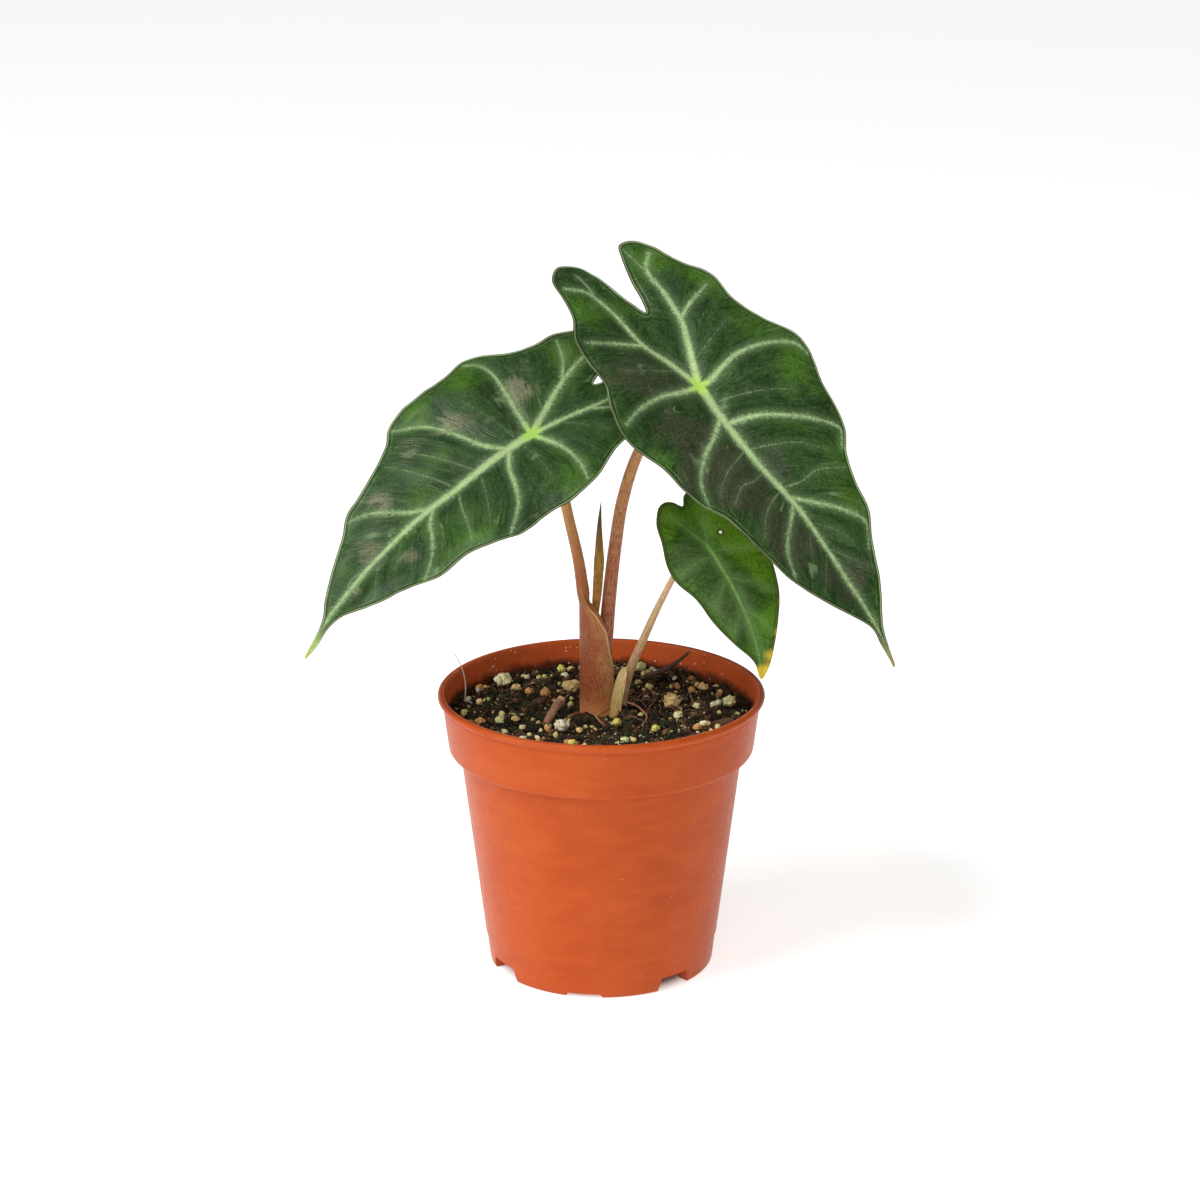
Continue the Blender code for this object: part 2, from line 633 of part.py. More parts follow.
def make_grain(number, spot, mat):
    share_x, share_y, half_width, half_height = spot
    edge = soil_radius(SOIL_TOP)
    x, y = clear_of_crown(share_x * edge, share_y * edge, half_width)
    name = f"perlite_{number:02d}"
    mesh = bpy.data.meshes.new(name)
    shell = bmesh.new()
    bmesh.ops.create_icosphere(shell, subdivisions=1, radius=1.0)
    knobbly = random.Random(number)
    for vertex in shell.verts:
        vertex.co *= knobbly.uniform(0.88, 1.04)
        vertex.co.x *= half_width * MM
        vertex.co.y *= half_width * 0.88 * MM
        vertex.co.z *= half_height * MM
    shell.to_mesh(mesh)
    shell.free()
    grain = add_object(name, mesh, mat)
    grain.rotation_euler.z = knobbly.uniform(0, math.pi)
    lift = rests_at(x, y, half_width) + half_height
    grain.location = (x * MM, y * MM, lift * MM)
    return grain


# Bark chips: (x, y in shares of the soil's radius, length, width, thickness, turn in degrees)
CHIPS = (
    (0.80, -0.24, 7.0, 3.6, 1.3, 35),
    (0.06, 0.74, 8.0, 4.0, 1.4, -20),
    (-0.05, -0.72, 7.5, 3.4, 1.2, 10),
    (-0.42, 0.13, 6.5, 3.4, 1.3, 60),
)


def make_chip(number, chip, mat):
    share_x, share_y, length, width, thickness, turn = chip
    edge = soil_radius(SOIL_TOP)
    x, y = clear_of_crown(share_x * edge, share_y * edge, length / 2)
    name = f"bark_chip_{number}"
    mesh = bpy.data.meshes.new(name)
    shell = bmesh.new()
    bmesh.ops.create_cube(shell, size=1.0)
    ragged = random.Random(number + 50)
    for vertex in shell.verts:
        vertex.co.x *= length * ragged.uniform(0.8, 1.0) * MM
        vertex.co.y *= width * ragged.uniform(0.75, 1.0) * MM
        vertex.co.z *= thickness * MM
    bmesh.ops.bevel(shell, geom=shell.edges[:], offset=0.3 * MM, segments=1, affect="EDGES")
    shell.to_mesh(mesh)
    shell.free()
    chip_object = add_object(name, mesh, mat)
    chip_object.rotation_euler.z = math.radians(turn)
    lift = rests_at(x, y, length / 2) + thickness / 2
    chip_object.location = (x * MM, y * MM, lift * MM)
    return chip_object


# Fine roots over the soil round the crown: plan points (x, y) and a radius
SURFACE_ROOTS = (
    ("surface_root_left", ((-7.6, -5.5), (-10.5, -7.6), (-11.0, -11.5), (-8.0, -14.8)), 0.45),
    ("surface_root_front", ((-2.5, -7.2), (-1.2, -9.4), (1.2, -11.6), (0.6, -15.0)), 0.45),
    ("surface_root_right", ((10.9, -5.0), (13.5, -6.0), (14.6, -9.5), (13.6, -13.5)), 0.4),
)


def make_surface_root(name, plan, radius, mat):
    route = []
    for x, y in catmull(plan, 7):
        route.append((x, y, rests_at(x, y, 2.2) + radius + 0.1))
    return tube(name, route, (radius, radius * 0.6), mat, 13, sides=6)


STUB_FOOT = (-18.6, -16.5)  # where the cut stub stands in the soil


def make_twigs(mat):
    """The cut stub that leans in front of the crown and the dry twig against the back wall."""
    x, y = clear_of_crown(*STUB_FOOT, 8.0)
    low = rests_at(x, y, 2.5) + 1.6
    stub = [(x, y, low), (x + 2.5, y + 4.2, low + 2.6), (x + 5.3, y + 8.6, low + 5.2)]
    tube("cut_stub", stub, (1.15, 1.4, 1.45), mat, 5, sides=10)
    edge = soil_radius(SOIL_TOP)
    start = (0.29 * edge, 0.64 * edge)
    end = (0.60 * edge, 0.70 * edge)
    low = rests_at(*start, 3.0) + 1.0
    high = max(rests_at(*end, 3.0) + 1.2, low + 8.0)
    middle = ((start[0] + end[0]) / 2 + 0.6, (start[1] + end[1]) / 2)
    between = max(low + 2.6, rests_at(*middle, 3.0) + 1.0)
    tube("dry_twig", [(*start, low), (*middle, between), (*end, high)], (1.0, 0.8, 0.45), mat, 7, sides=8)


def make_fibre(mat):
    """The pale hair root that stands up out of the soil beside the left rim."""
    edge = soil_radius(SOIL_TOP)
    x, y = -0.905 * edge, 0.20 * edge
    low = rests_at(x, y, 1.0) + 0.3
    steps = ((0.0, 0.0, 0.0), (0.5, 0.4, 5.0), (-0.4, 0.8, 11.0), (-2.8, 1.4, 15.5), (-4.2, 2.0, 17.0))
    route = [(x + dx, y + dy, low + dz) for dx, dy, dz in steps]
    tube("hair_root", route, (0.28, 0.22, 0.15), mat, 12, sides=6)


def main():
    for old in list(bpy.data.objects):
        bpy.data.objects.remove(old)
    plastic = material("terracotta_plastic", (0.60, 0.16, 0.055), 0.42)
    earth = material("soil", (0.035, 0.022, 0.014), 0.95)
    corm = material("rhizome", (0.20, 0.10, 0.05), 0.8)
    stalk = material("petiole", (0.33, 0.16, 0.10), 0.5)
    pale_stalk = material("small_petiole", (0.42, 0.30, 0.16), 0.5)
    papery = material("sheath", (0.45, 0.42, 0.20), 0.6)
    spike_skin = material("spike", (0.30, 0.20, 0.06), 0.6)
    leaf_green = material("leaf", (0.03, 0.10, 0.035), 0.35)
    young_green = material("young_leaf", (0.07, 0.20, 0.02), 0.35)
    mineral = material("perlite", (0.72, 0.63, 0.42), 0.9)
    wood = material("wood", (0.22, 0.11, 0.06), 0.85)
    root_skin = material("root", (0.45, 0.27, 0.15), 0.7)

    make_pot(plastic)
    make_soil(earth)
    make_rhizome(corm)

    loft("petiole_left", left_petiole_sections(), stalk)
    radii = [RIGHT_PETIOLE_RADIUS * share for share in RIGHT_RADII]
    tube("petiole_right", raised(RIGHT_ROUTE), radii, stalk, 22)
    radii = [SMALL_PETIOLE_RADIUS * share for share in SMALL_RADII]
    tube("petiole_small", raised(SMALL_ROUTE), radii, pale_stalk, 18, sides=12)
    make_small_sheath(papery)
    radii = [SPIKE_RADIUS * share for share in SPIKE_RADII]
    route = raised([(SPIKE_SIDE + x, y, z) for x, y, z in SPIKE_ROUTE])
    tube("new_leaf_spike", route, radii, spike_skin, 14, sides=10, flat=SPIKE_FLATNESS)

    right = leaf_of(
        RIGHT_ROUTE, (62.4, -43.0, -81.6), (0.42, -0.72, 0.55), RIGHT_MARGIN,
        arch=5.0, fold=0.26, curl=0.0035, waves=((1.2, 41.0, 0.6), (1.2, 37.0, 2.2)), samples=84, rings=6,
    )
    left = leaf_of(
        LEFT_ROUTE, (-72.6, -48.0, -61.6), (-0.32, -0.70, 0.62), LEFT_MARGIN,
        arch=5.0, fold=0.26, curl=0.0035, waves=((1.2, 39.0, 1.4), (1.2, 43.0, 0.2)), samples=84, rings=6,
    )
    small = leaf_of(
        SMALL_ROUTE, (17.1, -20.0, -39.1), (0.15, -0.75, 0.60), SMALL_MARGIN,
        arch=3.0, fold=0.10, curl=0.004, waves=((0.5, 25.0, 0.5), (0.5, 22.0, 1.8)), samples=48, rings=4,
    )
    make_blade("leaf_right", right, leaf_green)
    make_blade("leaf_left", left, leaf_green)
    make_blade("leaf_small", small, young_green)

    for number, spot in enumerate(GRAINS, 1):
        make_grain(number, spot, mineral)
    for number, chip in enumerate(CHIPS, 1):
        make_chip(number, chip, wood)
    for name, plan, radius in SURFACE_ROOTS:
        make_surface_root(name, plan, radius, root_skin)
    make_twigs(wood)
    make_fibre(root_skin)


main()
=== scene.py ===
"""The looks of the potted alocasia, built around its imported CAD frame.

Metres, +Z up, the pot's axis on the world Z axis and the front towards -Y. Sizes below are in
millimetres and are turned into metres by MM. Leaf shapes are given in each leaf's own plane:
u runs from the junction with the petiole to the tip, and v across to the leaf's left.
"""

import json
import math
import random

import bmesh
import bpy
import numpy as np
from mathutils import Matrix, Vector
from mathutils.geometry import delaunay_2d_cdt

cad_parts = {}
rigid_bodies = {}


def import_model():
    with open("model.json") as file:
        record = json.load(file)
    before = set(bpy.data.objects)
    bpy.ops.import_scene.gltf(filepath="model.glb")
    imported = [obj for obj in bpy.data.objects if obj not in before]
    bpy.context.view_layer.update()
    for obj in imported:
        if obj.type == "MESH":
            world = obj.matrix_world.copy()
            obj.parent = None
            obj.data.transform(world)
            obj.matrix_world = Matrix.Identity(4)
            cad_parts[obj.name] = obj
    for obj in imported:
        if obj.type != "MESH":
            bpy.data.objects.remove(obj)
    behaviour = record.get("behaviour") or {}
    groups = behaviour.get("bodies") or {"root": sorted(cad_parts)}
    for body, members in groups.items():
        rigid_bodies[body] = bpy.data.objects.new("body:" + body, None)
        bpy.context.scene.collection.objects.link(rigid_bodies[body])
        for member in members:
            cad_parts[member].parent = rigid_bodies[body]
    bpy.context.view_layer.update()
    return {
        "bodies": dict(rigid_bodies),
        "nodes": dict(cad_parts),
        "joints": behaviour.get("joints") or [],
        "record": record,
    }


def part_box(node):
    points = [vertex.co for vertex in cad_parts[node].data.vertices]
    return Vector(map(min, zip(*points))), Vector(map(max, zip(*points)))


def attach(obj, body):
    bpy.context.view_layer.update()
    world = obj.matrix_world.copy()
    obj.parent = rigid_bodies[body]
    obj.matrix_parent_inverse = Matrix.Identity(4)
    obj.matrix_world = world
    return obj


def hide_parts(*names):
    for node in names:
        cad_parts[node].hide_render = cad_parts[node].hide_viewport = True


MM = 0.001
BODY = "root"

# Pot and soil, as in the CAD source
POT_HEIGHT = 96.0
SOIL_TOP = 87.5
SHAFT = (-1.4, 1.0)  # middle of the sheath column
SMALL_FOOT = (6.2, -3.6)  # near where the small stalk leaves the soil
COLUMN_RADIUS = 5.86
CAVITY_RADIUS = 3.91
CAVITY_CENTRE = (-0.25, 1.0)
BLADE_THICKNESS = 0.7


# Numbers: smooth noise, curves and distances


def lattice(cells, seed):
    """A repeatable random number from 0 to 1 for each row of whole numbers."""
    mixed = cells.astype(np.int64) * np.array((73856093, 19349663, 83492791))
    value = (mixed[:, 0] ^ mixed[:, 1] ^ mixed[:, 2]) + seed * 668265263
    value = (value ^ (value >> 13)) * 1274126177 & 0xFFFFFFFF
    value = (value ^ (value >> 16)) * 2246822519 & 0xFFFFFFFF
    return ((value ^ (value >> 15)) & 0xFFFFFF) / 0xFFFFFF


def noise(points, size, seed=0):
    """Smooth noise from -1 to 1 whose lumps are about size across."""
    spot = np.asarray(points, float) / size
    if spot.shape[1] == 2:
        spot = np.column_stack([spot, np.zeros(len(spot))])
    base = np.floor(spot).astype(np.int64)
    part = spot - base
    part = part * part * (3 - 2 * part)
    total = np.zeros(len(spot))
    for corner in range(8):
        step = np.array((corner & 1, corner >> 1 & 1, corner >> 2 & 1))
        weight = np.prod(np.where(step, part, 1 - part), axis=1)
        total += weight * lattice(base + step, seed)
    return 2 * total - 1


def fractal(points, size, octaves=3, seed=0):
    """Noise with finer noise on it, each octave half the size and half the height."""
    total = np.zeros(len(points))
    for octave in range(octaves):
        total += 0.5**octave * noise(points, size / 2**octave, seed + octave)
    return total


def smooth_step(low, high, value):
    share = np.clip((value - low) / (high - low), 0, 1)
    return share * share * (3 - 2 * share)


def catmull(points, count, closed=False):
    """Points of a centripetal Catmull-Rom curve, evenly spaced in its parameter."""
    points = np.array(points, float)
    if closed:
        padded = np.concatenate([points[-1:], points, points[:2]])
    else:
        padded = np.concatenate([[2 * points[0] - points[1]], points, [2 * points[-1] - points[-2]]])
    spans = len(padded) - 3
    out = []
    for t in np.linspace(0, spans, count, endpoint=not closed):
        k = min(int(t), spans - 1)
        p0, p1, p2, p3 = padded[k : k + 4]
        d1 = math.sqrt(max(np.linalg.norm(p1 - p0), 1e-6))
        d2 = math.sqrt(max(np.linalg.norm(p2 - p1), 1e-6))
        d3 = math.sqrt(max(np.linalg.norm(p3 - p2), 1e-6))
        m1 = (p2 - p1) + d2 * ((p1 - p0) / d1 - (p2 - p0) / (d1 + d2))
        m2 = (p2 - p1) + d2 * ((p3 - p2) / d3 - (p3 - p1) / (d2 + d3))
        s = t - k
        out.append(
            (2 * s**3 - 3 * s**2 + 1) * p1
            + (s**3 - 2 * s**2 + s) * m1
            + (3 * s**2 - 2 * s**3) * p2
            + (s**3 - s**2) * m2
        )
    return np.array(out)


def evenly(points, step):
    """The same closed curve with its points about step apart."""
    loop = np.vstack([points, points[:1]])
    run = np.concatenate([[0], np.cumsum(np.linalg.norm(np.diff(loop, axis=0), axis=1))])
    at = np.linspace(0, run[-1], int(run[-1] / step), endpoint=False)
    return np.column_stack([np.interp(at, run, loop[:, k]) for k in range(loop.shape[1])])


def near_line(points, line):
    """(distance, share of the line's length) from each 2-D point to a polyline."""
    start, ends = line[:-1], line[1:]
    way = ends - start
    lengths = np.linalg.norm(way, axis=1)
    before = np.concatenate([[0], np.cumsum(lengths)])
    best = np.full(len(points), 1e9)
    share = np.zeros(len(points))
    for a, w, length, run in zip(start, way, lengths, before):
        t = np.clip(((points - a) @ w) / max(length**2, 1e-12), 0, 1)
        distance = np.linalg.norm(points - a - t[:, None] * w, axis=1)
        closer = distance < best
        best = np.where(closer, distance, best)
        share = np.where(closer, run + t * length, share)
    return best, share / before[-1]


def inside(points, loop):
    """Which 2-D points lie inside a closed polygon."""
    held = np.zeros(len(points), bool)
    x, y = points[:, 0], points[:, 1]
    for (x0, y0), (x1, y1) in zip(loop, np.roll(loop, -1, axis=0)):
        crosses = (y0 > y) != (y1 > y)
        if y1 != y0:
            held ^= crosses & (x < x0 + (y - y0) * (x1 - x0) / (y1 - y0))
    return held


def hills(points, table):
    """The height at each (x, y) of the soft hills in a table of (x, y, radius, height) rows."""
    height = np.zeros(len(points))
    for x, y, radius, rise in table:
        height += rise * np.exp(-((points[:, 0] - x) ** 2 + (points[:, 1] - y) ** 2) / radius**2)
    return height


def ways_round(loop):
    """The direction of a closed curve at each of its points."""
    ways = np.roll(loop, -1, axis=0) - np.roll(loop, 1, axis=0)
    return ways / np.linalg.norm(ways, axis=1)[:, None]


# Materials


class Shade:
    """One material's nodes. A call takes numbers, colours or the sockets of other nodes."""

    def __init__(self, name, roughness=0.5, specular=0.5):
        self.material = bpy.data.materials.new(name)
        self.material.use_nodes = True
        self.tree = self.material.node_tree
        self.shader = self.tree.nodes["Principled BSDF"]
        self.shader.inputs["Roughness"].default_value = roughness
        self.shader.inputs["Specular IOR Level"].default_value = specular

    def put(self, socket, value):
        if isinstance(value, bpy.types.NodeSocket):
            self.tree.links.new(value, socket)
        elif isinstance(value, tuple) and len(value) == 3 and socket.type == "RGBA":
            socket.default_value = (*value, 1.0)
        else:
            socket.default_value = value

    def attribute(self, name, output="Fac"):
        made = self.tree.nodes.new("ShaderNodeAttribute")
        made.attribute_name = name
        return made.outputs[output]

    def place(self, stretch=(1, 1, 1)):
        """The point on the object in millimetres, squeezed by stretch."""
        source = self.tree.nodes.new("ShaderNodeTexCoord").outputs["Object"]
        scale = self.tree.nodes.new("ShaderNodeVectorMath")
        scale.operation = "MULTIPLY"
        self.put(scale.inputs[0], source)
        scale.inputs[1].default_value = [s / MM for s in stretch]
        return scale.outputs[0]

    def joined(self, x, y=0.0, z=0.0):
        made = self.tree.nodes.new("ShaderNodeCombineXYZ")
        for socket, value in zip(made.inputs, (x, y, z)):
            self.put(socket, value)
        return made.outputs[0]

    def split(self, vector, axis):
        made = self.tree.nodes.new("ShaderNodeSeparateXYZ")
        self.put(made.inputs[0], vector)
        return made.outputs[axis]

    def noise(self, where, size, detail=2.0, rough=0.55):
        """Smooth noise from 0 to 1 with lumps about size millimetres across."""
        made = self.tree.nodes.new("ShaderNodeTexNoise")
        self.put(made.inputs["Vector"], where)
        made.inputs["Scale"].default_value = 1 / size
        made.inputs["Detail"].default_value = detail
        made.inputs["Roughness"].default_value = rough
        return made.outputs["Fac"]

    def cells(self, where, size, output="Distance"):
        made = self.tree.nodes.new("ShaderNodeTexVoronoi")
        self.put(made.inputs["Vector"], where)
        made.inputs["Scale"].default_value = 1 / size
        return made.outputs[output]

    def math(self, operation, first, second=0.0):
        made = self.tree.nodes.new("ShaderNodeMath")
        made.operation = operation
        self.put(made.inputs[0], first)
        self.put(made.inputs[1], second)
        return made.outputs[0]

    def times(self, first, second):
        return self.math("MULTIPLY", first, second)

    def plus(self, first, second):
        return self.math("ADD", first, second)

    def minus(self, first, second):
        return self.math("SUBTRACT", first, second)

    def ramp(self, value, low, high, start=0.0, end=1.0):
        """start where value is low, end where it is high, and a soft step between."""
        made = self.tree.nodes.new("ShaderNodeMapRange")
        made.interpolation_type = "SMOOTHSTEP"
        for socket, given in zip(made.inputs, (value, low, high, start, end)):
            self.put(socket, given)
        return made.outputs[0]

    def mix(self, share, first, second, blend="MIX"):
        made = self.tree.nodes.new("ShaderNodeMix")
        made.data_type = "RGBA"
        made.blend_type = blend
        self.put(made.inputs[0], share)
        self.put(made.inputs[6], first)
        self.put(made.inputs[7], second)
        return made.outputs[2]

    def over(self, colour, tint, value, low, high, start=0.0, end=1.0):
        """The colour with tint over it: start of it where value is low, end of it where it is high."""
        return self.mix(self.ramp(value, low, high, start, end), colour, tint)

    def bump(self, height, depth, before=None):
        """A normal raised by height, where 1 stands for depth millimetres."""
        made = self.tree.nodes.new("ShaderNodeBump")
        made.inputs["Distance"].default_value = depth * MM
        made.inputs["Strength"].default_value = 1.0
        self.put(made.inputs["Height"], height)
        if before is not None:
            self.put(made.inputs["Normal"], before)
        return made.outputs[0]

    def finish(self, colour, roughness=None, normal=None):
        self.put(self.shader.inputs["Base Color"], colour)
        if roughness is not None:
            self.put(self.shader.inputs["Roughness"], roughness)
        if normal is not None:
            self.put(self.shader.inputs["Normal"], normal)
        return self.material


def leaf_material(name, look):
    """A blade: pale feathered veins over dark green with duller and brighter patches, and a pale rim.
    With the left leaf's look the duller patches are a painted beige-grey highlight.
    """
    made = Shade(name, specular=look["gloss"])
    where = made.place()
    gap, run = made.attribute("vein_gap"), made.attribute("vein_run")
    power, flow = made.attribute("vein_power"), made.attribute("flow")
    reach, rim = made.attribute("reach"), made.attribute("rim_gap")
    under, lobe = made.attribute("under"), made.attribute("patch")

    streaks = made.noise(made.joined(flow, made.times(reach, 0.16)), 0.85, 4.0, 0.65)
    bands = made.noise(made.joined(flow, made.times(reach, 0.6), 2.0), 4.5, 4.0, 0.68)
    blotch = made.noise(where, 11.0, 4.0, 0.6)
    grain = made.noise(where, 0.8, 4.0, 0.8)

    green = made.over(look["deep"], look["green"], bands, 0.38, 0.6)
    lively = made.plus(lobe, made.times(made.plus(blotch, bands), 0.5))
    green = made.over(green, look["bright"], lively, 0.5, 1.1)
    # Duller patches; on the left leaf their colour is a painted beige-grey highlight on the bulges
    # between the upper veins
    dull_and_sheen = made.plus(made.times(blotch, 0.5), made.times(streaks, 1.1))
    dull_and_sheen = made.minus(made.minus(dull_and_sheen, 0.3), lobe)
    green = made.over(green, look["dusky_and_painted_sheen"], dull_and_sheen, 0.68, 1.08, 0.0, 0.9)
    edging = made.ramp(rim, 5.0, 0.3, 0.0, look["edging"])
    edging = made.times(edging, made.ramp(bands, 0.35, 0.6))
    green = made.mix(edging, green, look["edge_green"])
    green = made.over(green, look["deep"], streaks, 0.34, 0.5, 0.6, 0.0)
    green = made.over(green, look["streak"], streaks, 0.53, 0.7, 0.0, 0.42)
    green = made.over(green, look["deep"], grain, 0.36, 0.5, 0.85, 0.0)
    green = made.over(green, look["streak"], grain, 0.51, 0.66, 0.0, 0.55)

    # Fine side veins that run between the main ones, and scattered pale scratches that also serve as
    # tiny painted glints
    wander = made.noise(made.joined(flow, made.times(reach, 0.07), 7.0), 6.5, 1.0)
    hair = made.ramp(made.math("ABSOLUTE", made.minus(wander, 0.5)), 0.0, 0.012, 1.0, 0.0)
    hair = made.times(hair, made.ramp(made.noise(where, 7.0), 0.5, 0.68, 0.0, look["hair"]))
    green = made.mix(hair, green, look["vein"])
    scratch_and_glint = made.cells(made.joined(flow, made.times(reach, 0.35)), 2.1)
    scratch_and_glint = made.ramp(scratch_and_glint, 0.05, 0.13, 1.0, 0.0)
    scratch_and_glint = made.times(scratch_and_glint, made.ramp(made.noise(where, 3.3), 0.54, 0.66, 0.0, 0.6))
    green = made.mix(scratch_and_glint, green, look["scratch_and_glint"])

    # The veins: a core with a feathered edge of short slanting hairs
    hairs = made.noise(made.joined(run, made.times(gap, 0.22), 3.0), 0.33, 3.0, 0.75)
    feather = made.ramp(hairs, 0.4, 0.66, 0.0, look["feather"])
    feather = made.times(feather, made.ramp(power, 0.15, 0.8, 0.15, 1.0))
    vein = made.ramp(gap, feather, made.minus(feather, made.ramp(power, 0.3, 0.8, 0.12, 0.5)))
    vein = made.times(vein, made.ramp(power, 0.0, 1.0, 0.35, look["vein_share"]))
    haze = made.times(made.ramp(gap, 3.2, -0.2, 0.0, look["haze"]), power)
    green = made.mix(haze, green, look["vein"])
    strand = made.noise(made.joined(made.times(run, 0.3), gap, 5.0), 0.42, 4.0, 0.75)
    core = made.over(look["vein_dark"], look["core"], strand, 0.38, 0.62)
    core = made.over(core, look["vein"], power, 0.6, 0.95, 0.6, 0.25)
    middle = made.times(made.ramp(gap, -0.3, -1.1), 0.6)
    core = made.mix(middle, core, look["core"])
    core = made.over(core, look["heart"], made.attribute("glow"), 0.0, 1.0)
    colour = made.mix(vein, green, core)

    # A thin line runs along the margin; the margin itself is pale with a dark outer edge
    inner = made.math("ABSOLUTE", made.minus(rim, 1.7))
    inner = made.ramp(inner, 0.0, 0.2, look["rim_line"], 0.0)
    inner = made.times(inner, made.ramp(made.noise(where, 9.0), 0.4, 0.6))
    colour = made.mix(inner, colour, look["vein"])
    colour = made.over(colour, look["deep"], rim, 1.35, 1.0, 0.0, 0.6)
    worn = made.plus(rim, made.times(grain, 0.3))
    colour = made.over(colour, look["rim"], worn, 0.6, 0.8, look["rim_share"], 0.0)
    dark = made.ramp(made.noise(where, 17.0), 0.3, 0.55, 0.6, 1.0)
    dark = made.times(made.ramp(rim, 0.14, 0.3, 1.0, 0.0), dark)
    colour = made.mix(dark, colour, look["rim_brown"])
    tip = made.attribute("tip")
    colour = made.over(colour, look["tip"], tip, 0.0, 0.7)
    colour = made.over(colour, look["tip_end"], tip, 0.8, 1.0)
    if "stain" in look:
        stain = made.times(made.minus(grain, 0.5), 0.4)
        stain = made.plus(made.attribute("stain"), stain)
        colour = made.over(colour, look["stain"], stain, 0.15, 0.75, 0.0, 0.9)
        hole = made.attribute("hole")
        colour = made.over(colour, (0.02, 0.035, 0.006), hole, 1.5, 0.9)
        colour = made.over(colour, (0.85, 0.86, 0.7), hole, 0.75, 0.5)

    back = made.over(look["back"], look["back_dark"], blotch, 0.35, 0.65)
    back = made.over(back, made.mix(0.35, back, look["back_vein"]), grain, 0.3, 0.7, 0.0, 0.5)
    back = made.mix(hair, back, look["back_vein"])
    back_veins = made.times(made.ramp(gap, 0.5, -0.3), made.ramp(power, 0.0, 0.6, 0.3, 0.95))
    back = made.mix(back_veins, back, look["back_vein"])
    back = made.over(back, look["rim"], rim, 0.9, 0.4, 0.0, 0.8)
    colour = made.over(colour, back, under, 0.4, 0.6)

    rough = made.ramp(grain, 0.2, 0.8, look["smooth"], look["smooth"] + 0.12)
    rough = made.plus(rough, made.times(vein, 0.1))
    ripple = made.bump(streaks, 0.07)
    ripple = made.bump(made.noise(where, 0.35, 2.0), 0.012, ripple)
    ripple = made.bump(made.times(strand, vein), 0.10, ripple)
    return made.finish(colour, rough, ripple)


def stalk_material(name, look, roughness=0.42):
    """A petiole: long thin streaks and flecks over a colour that changes up the stalk."""
    made = Shade(name, roughness, 0.25)
    rise, around = made.attribute("rise"), made.attribute("around")
    height = made.attribute("along")
    where = made.joined(around, made.times(height, 0.16))
    streaks = made.noise(where, 0.42, 4.0, 0.65)
    flecks = made.noise(made.joined(around, made.times(height, 0.4), 4.0), 0.36, 3.0, 0.75)
    clouds = made.noise(made.joined(around, made.times(height, 0.5), 9.0), 5.0, 3.0)
    colour = made.over(look["low"], look["high"], rise, look["turn"][0], look["turn"][1])
    colour = made.over(colour, look["cloud"], clouds, 0.4, 0.65, 0.0, 0.6)
    colour = made.over(colour, look["streak"], streaks, 0.36, 0.54, 0.85, 0.0)
    colour = made.over(colour, look["pale"], streaks, 0.55, 0.72, 0.0, 0.6)
    colour = made.over(colour, look["fleck"], flecks, 0.54, 0.66, 0.0, 0.75)
    if "foot" in look:
        # Painted light: towards its bottom the sheath, shaded by the leaves, is lifted to a brighter
        # orange
        foot = made.plus(height, made.times(clouds, 3.0))
        colour = made.over(colour, look["foot"], foot, 13.0, 5.0, 0.0, 0.7)
    if "wing" in look:
        free = made.attribute("wing")
        side = made.times(made.ramp(around, 5.0, 0.8), made.ramp(height, 27.0, 10.0, 0.15, 1.0))
        side = made.times(made.times(side, free), made.ramp(streaks, 0.3, 0.6, 0.35, 1.0))
        colour = made.mix(side, colour, look["wing"])
        seam = made.times(made.ramp(around, 0.75, 0.35, 0.0, 0.85), free)
        colour = made.mix(seam, colour, look["seam"])
    if "dark_end" in look:
        colour = made.over(colour, look["dark_end"], rise, 0.72, 0.95)
    rough = made.ramp(flecks, 0.3, 0.7, roughness - 0.06, roughness + 0.14)
    normal = made.bump(streaks, 0.12)
    return made.finish(colour, rough, made.bump(flecks, 0.04, normal))


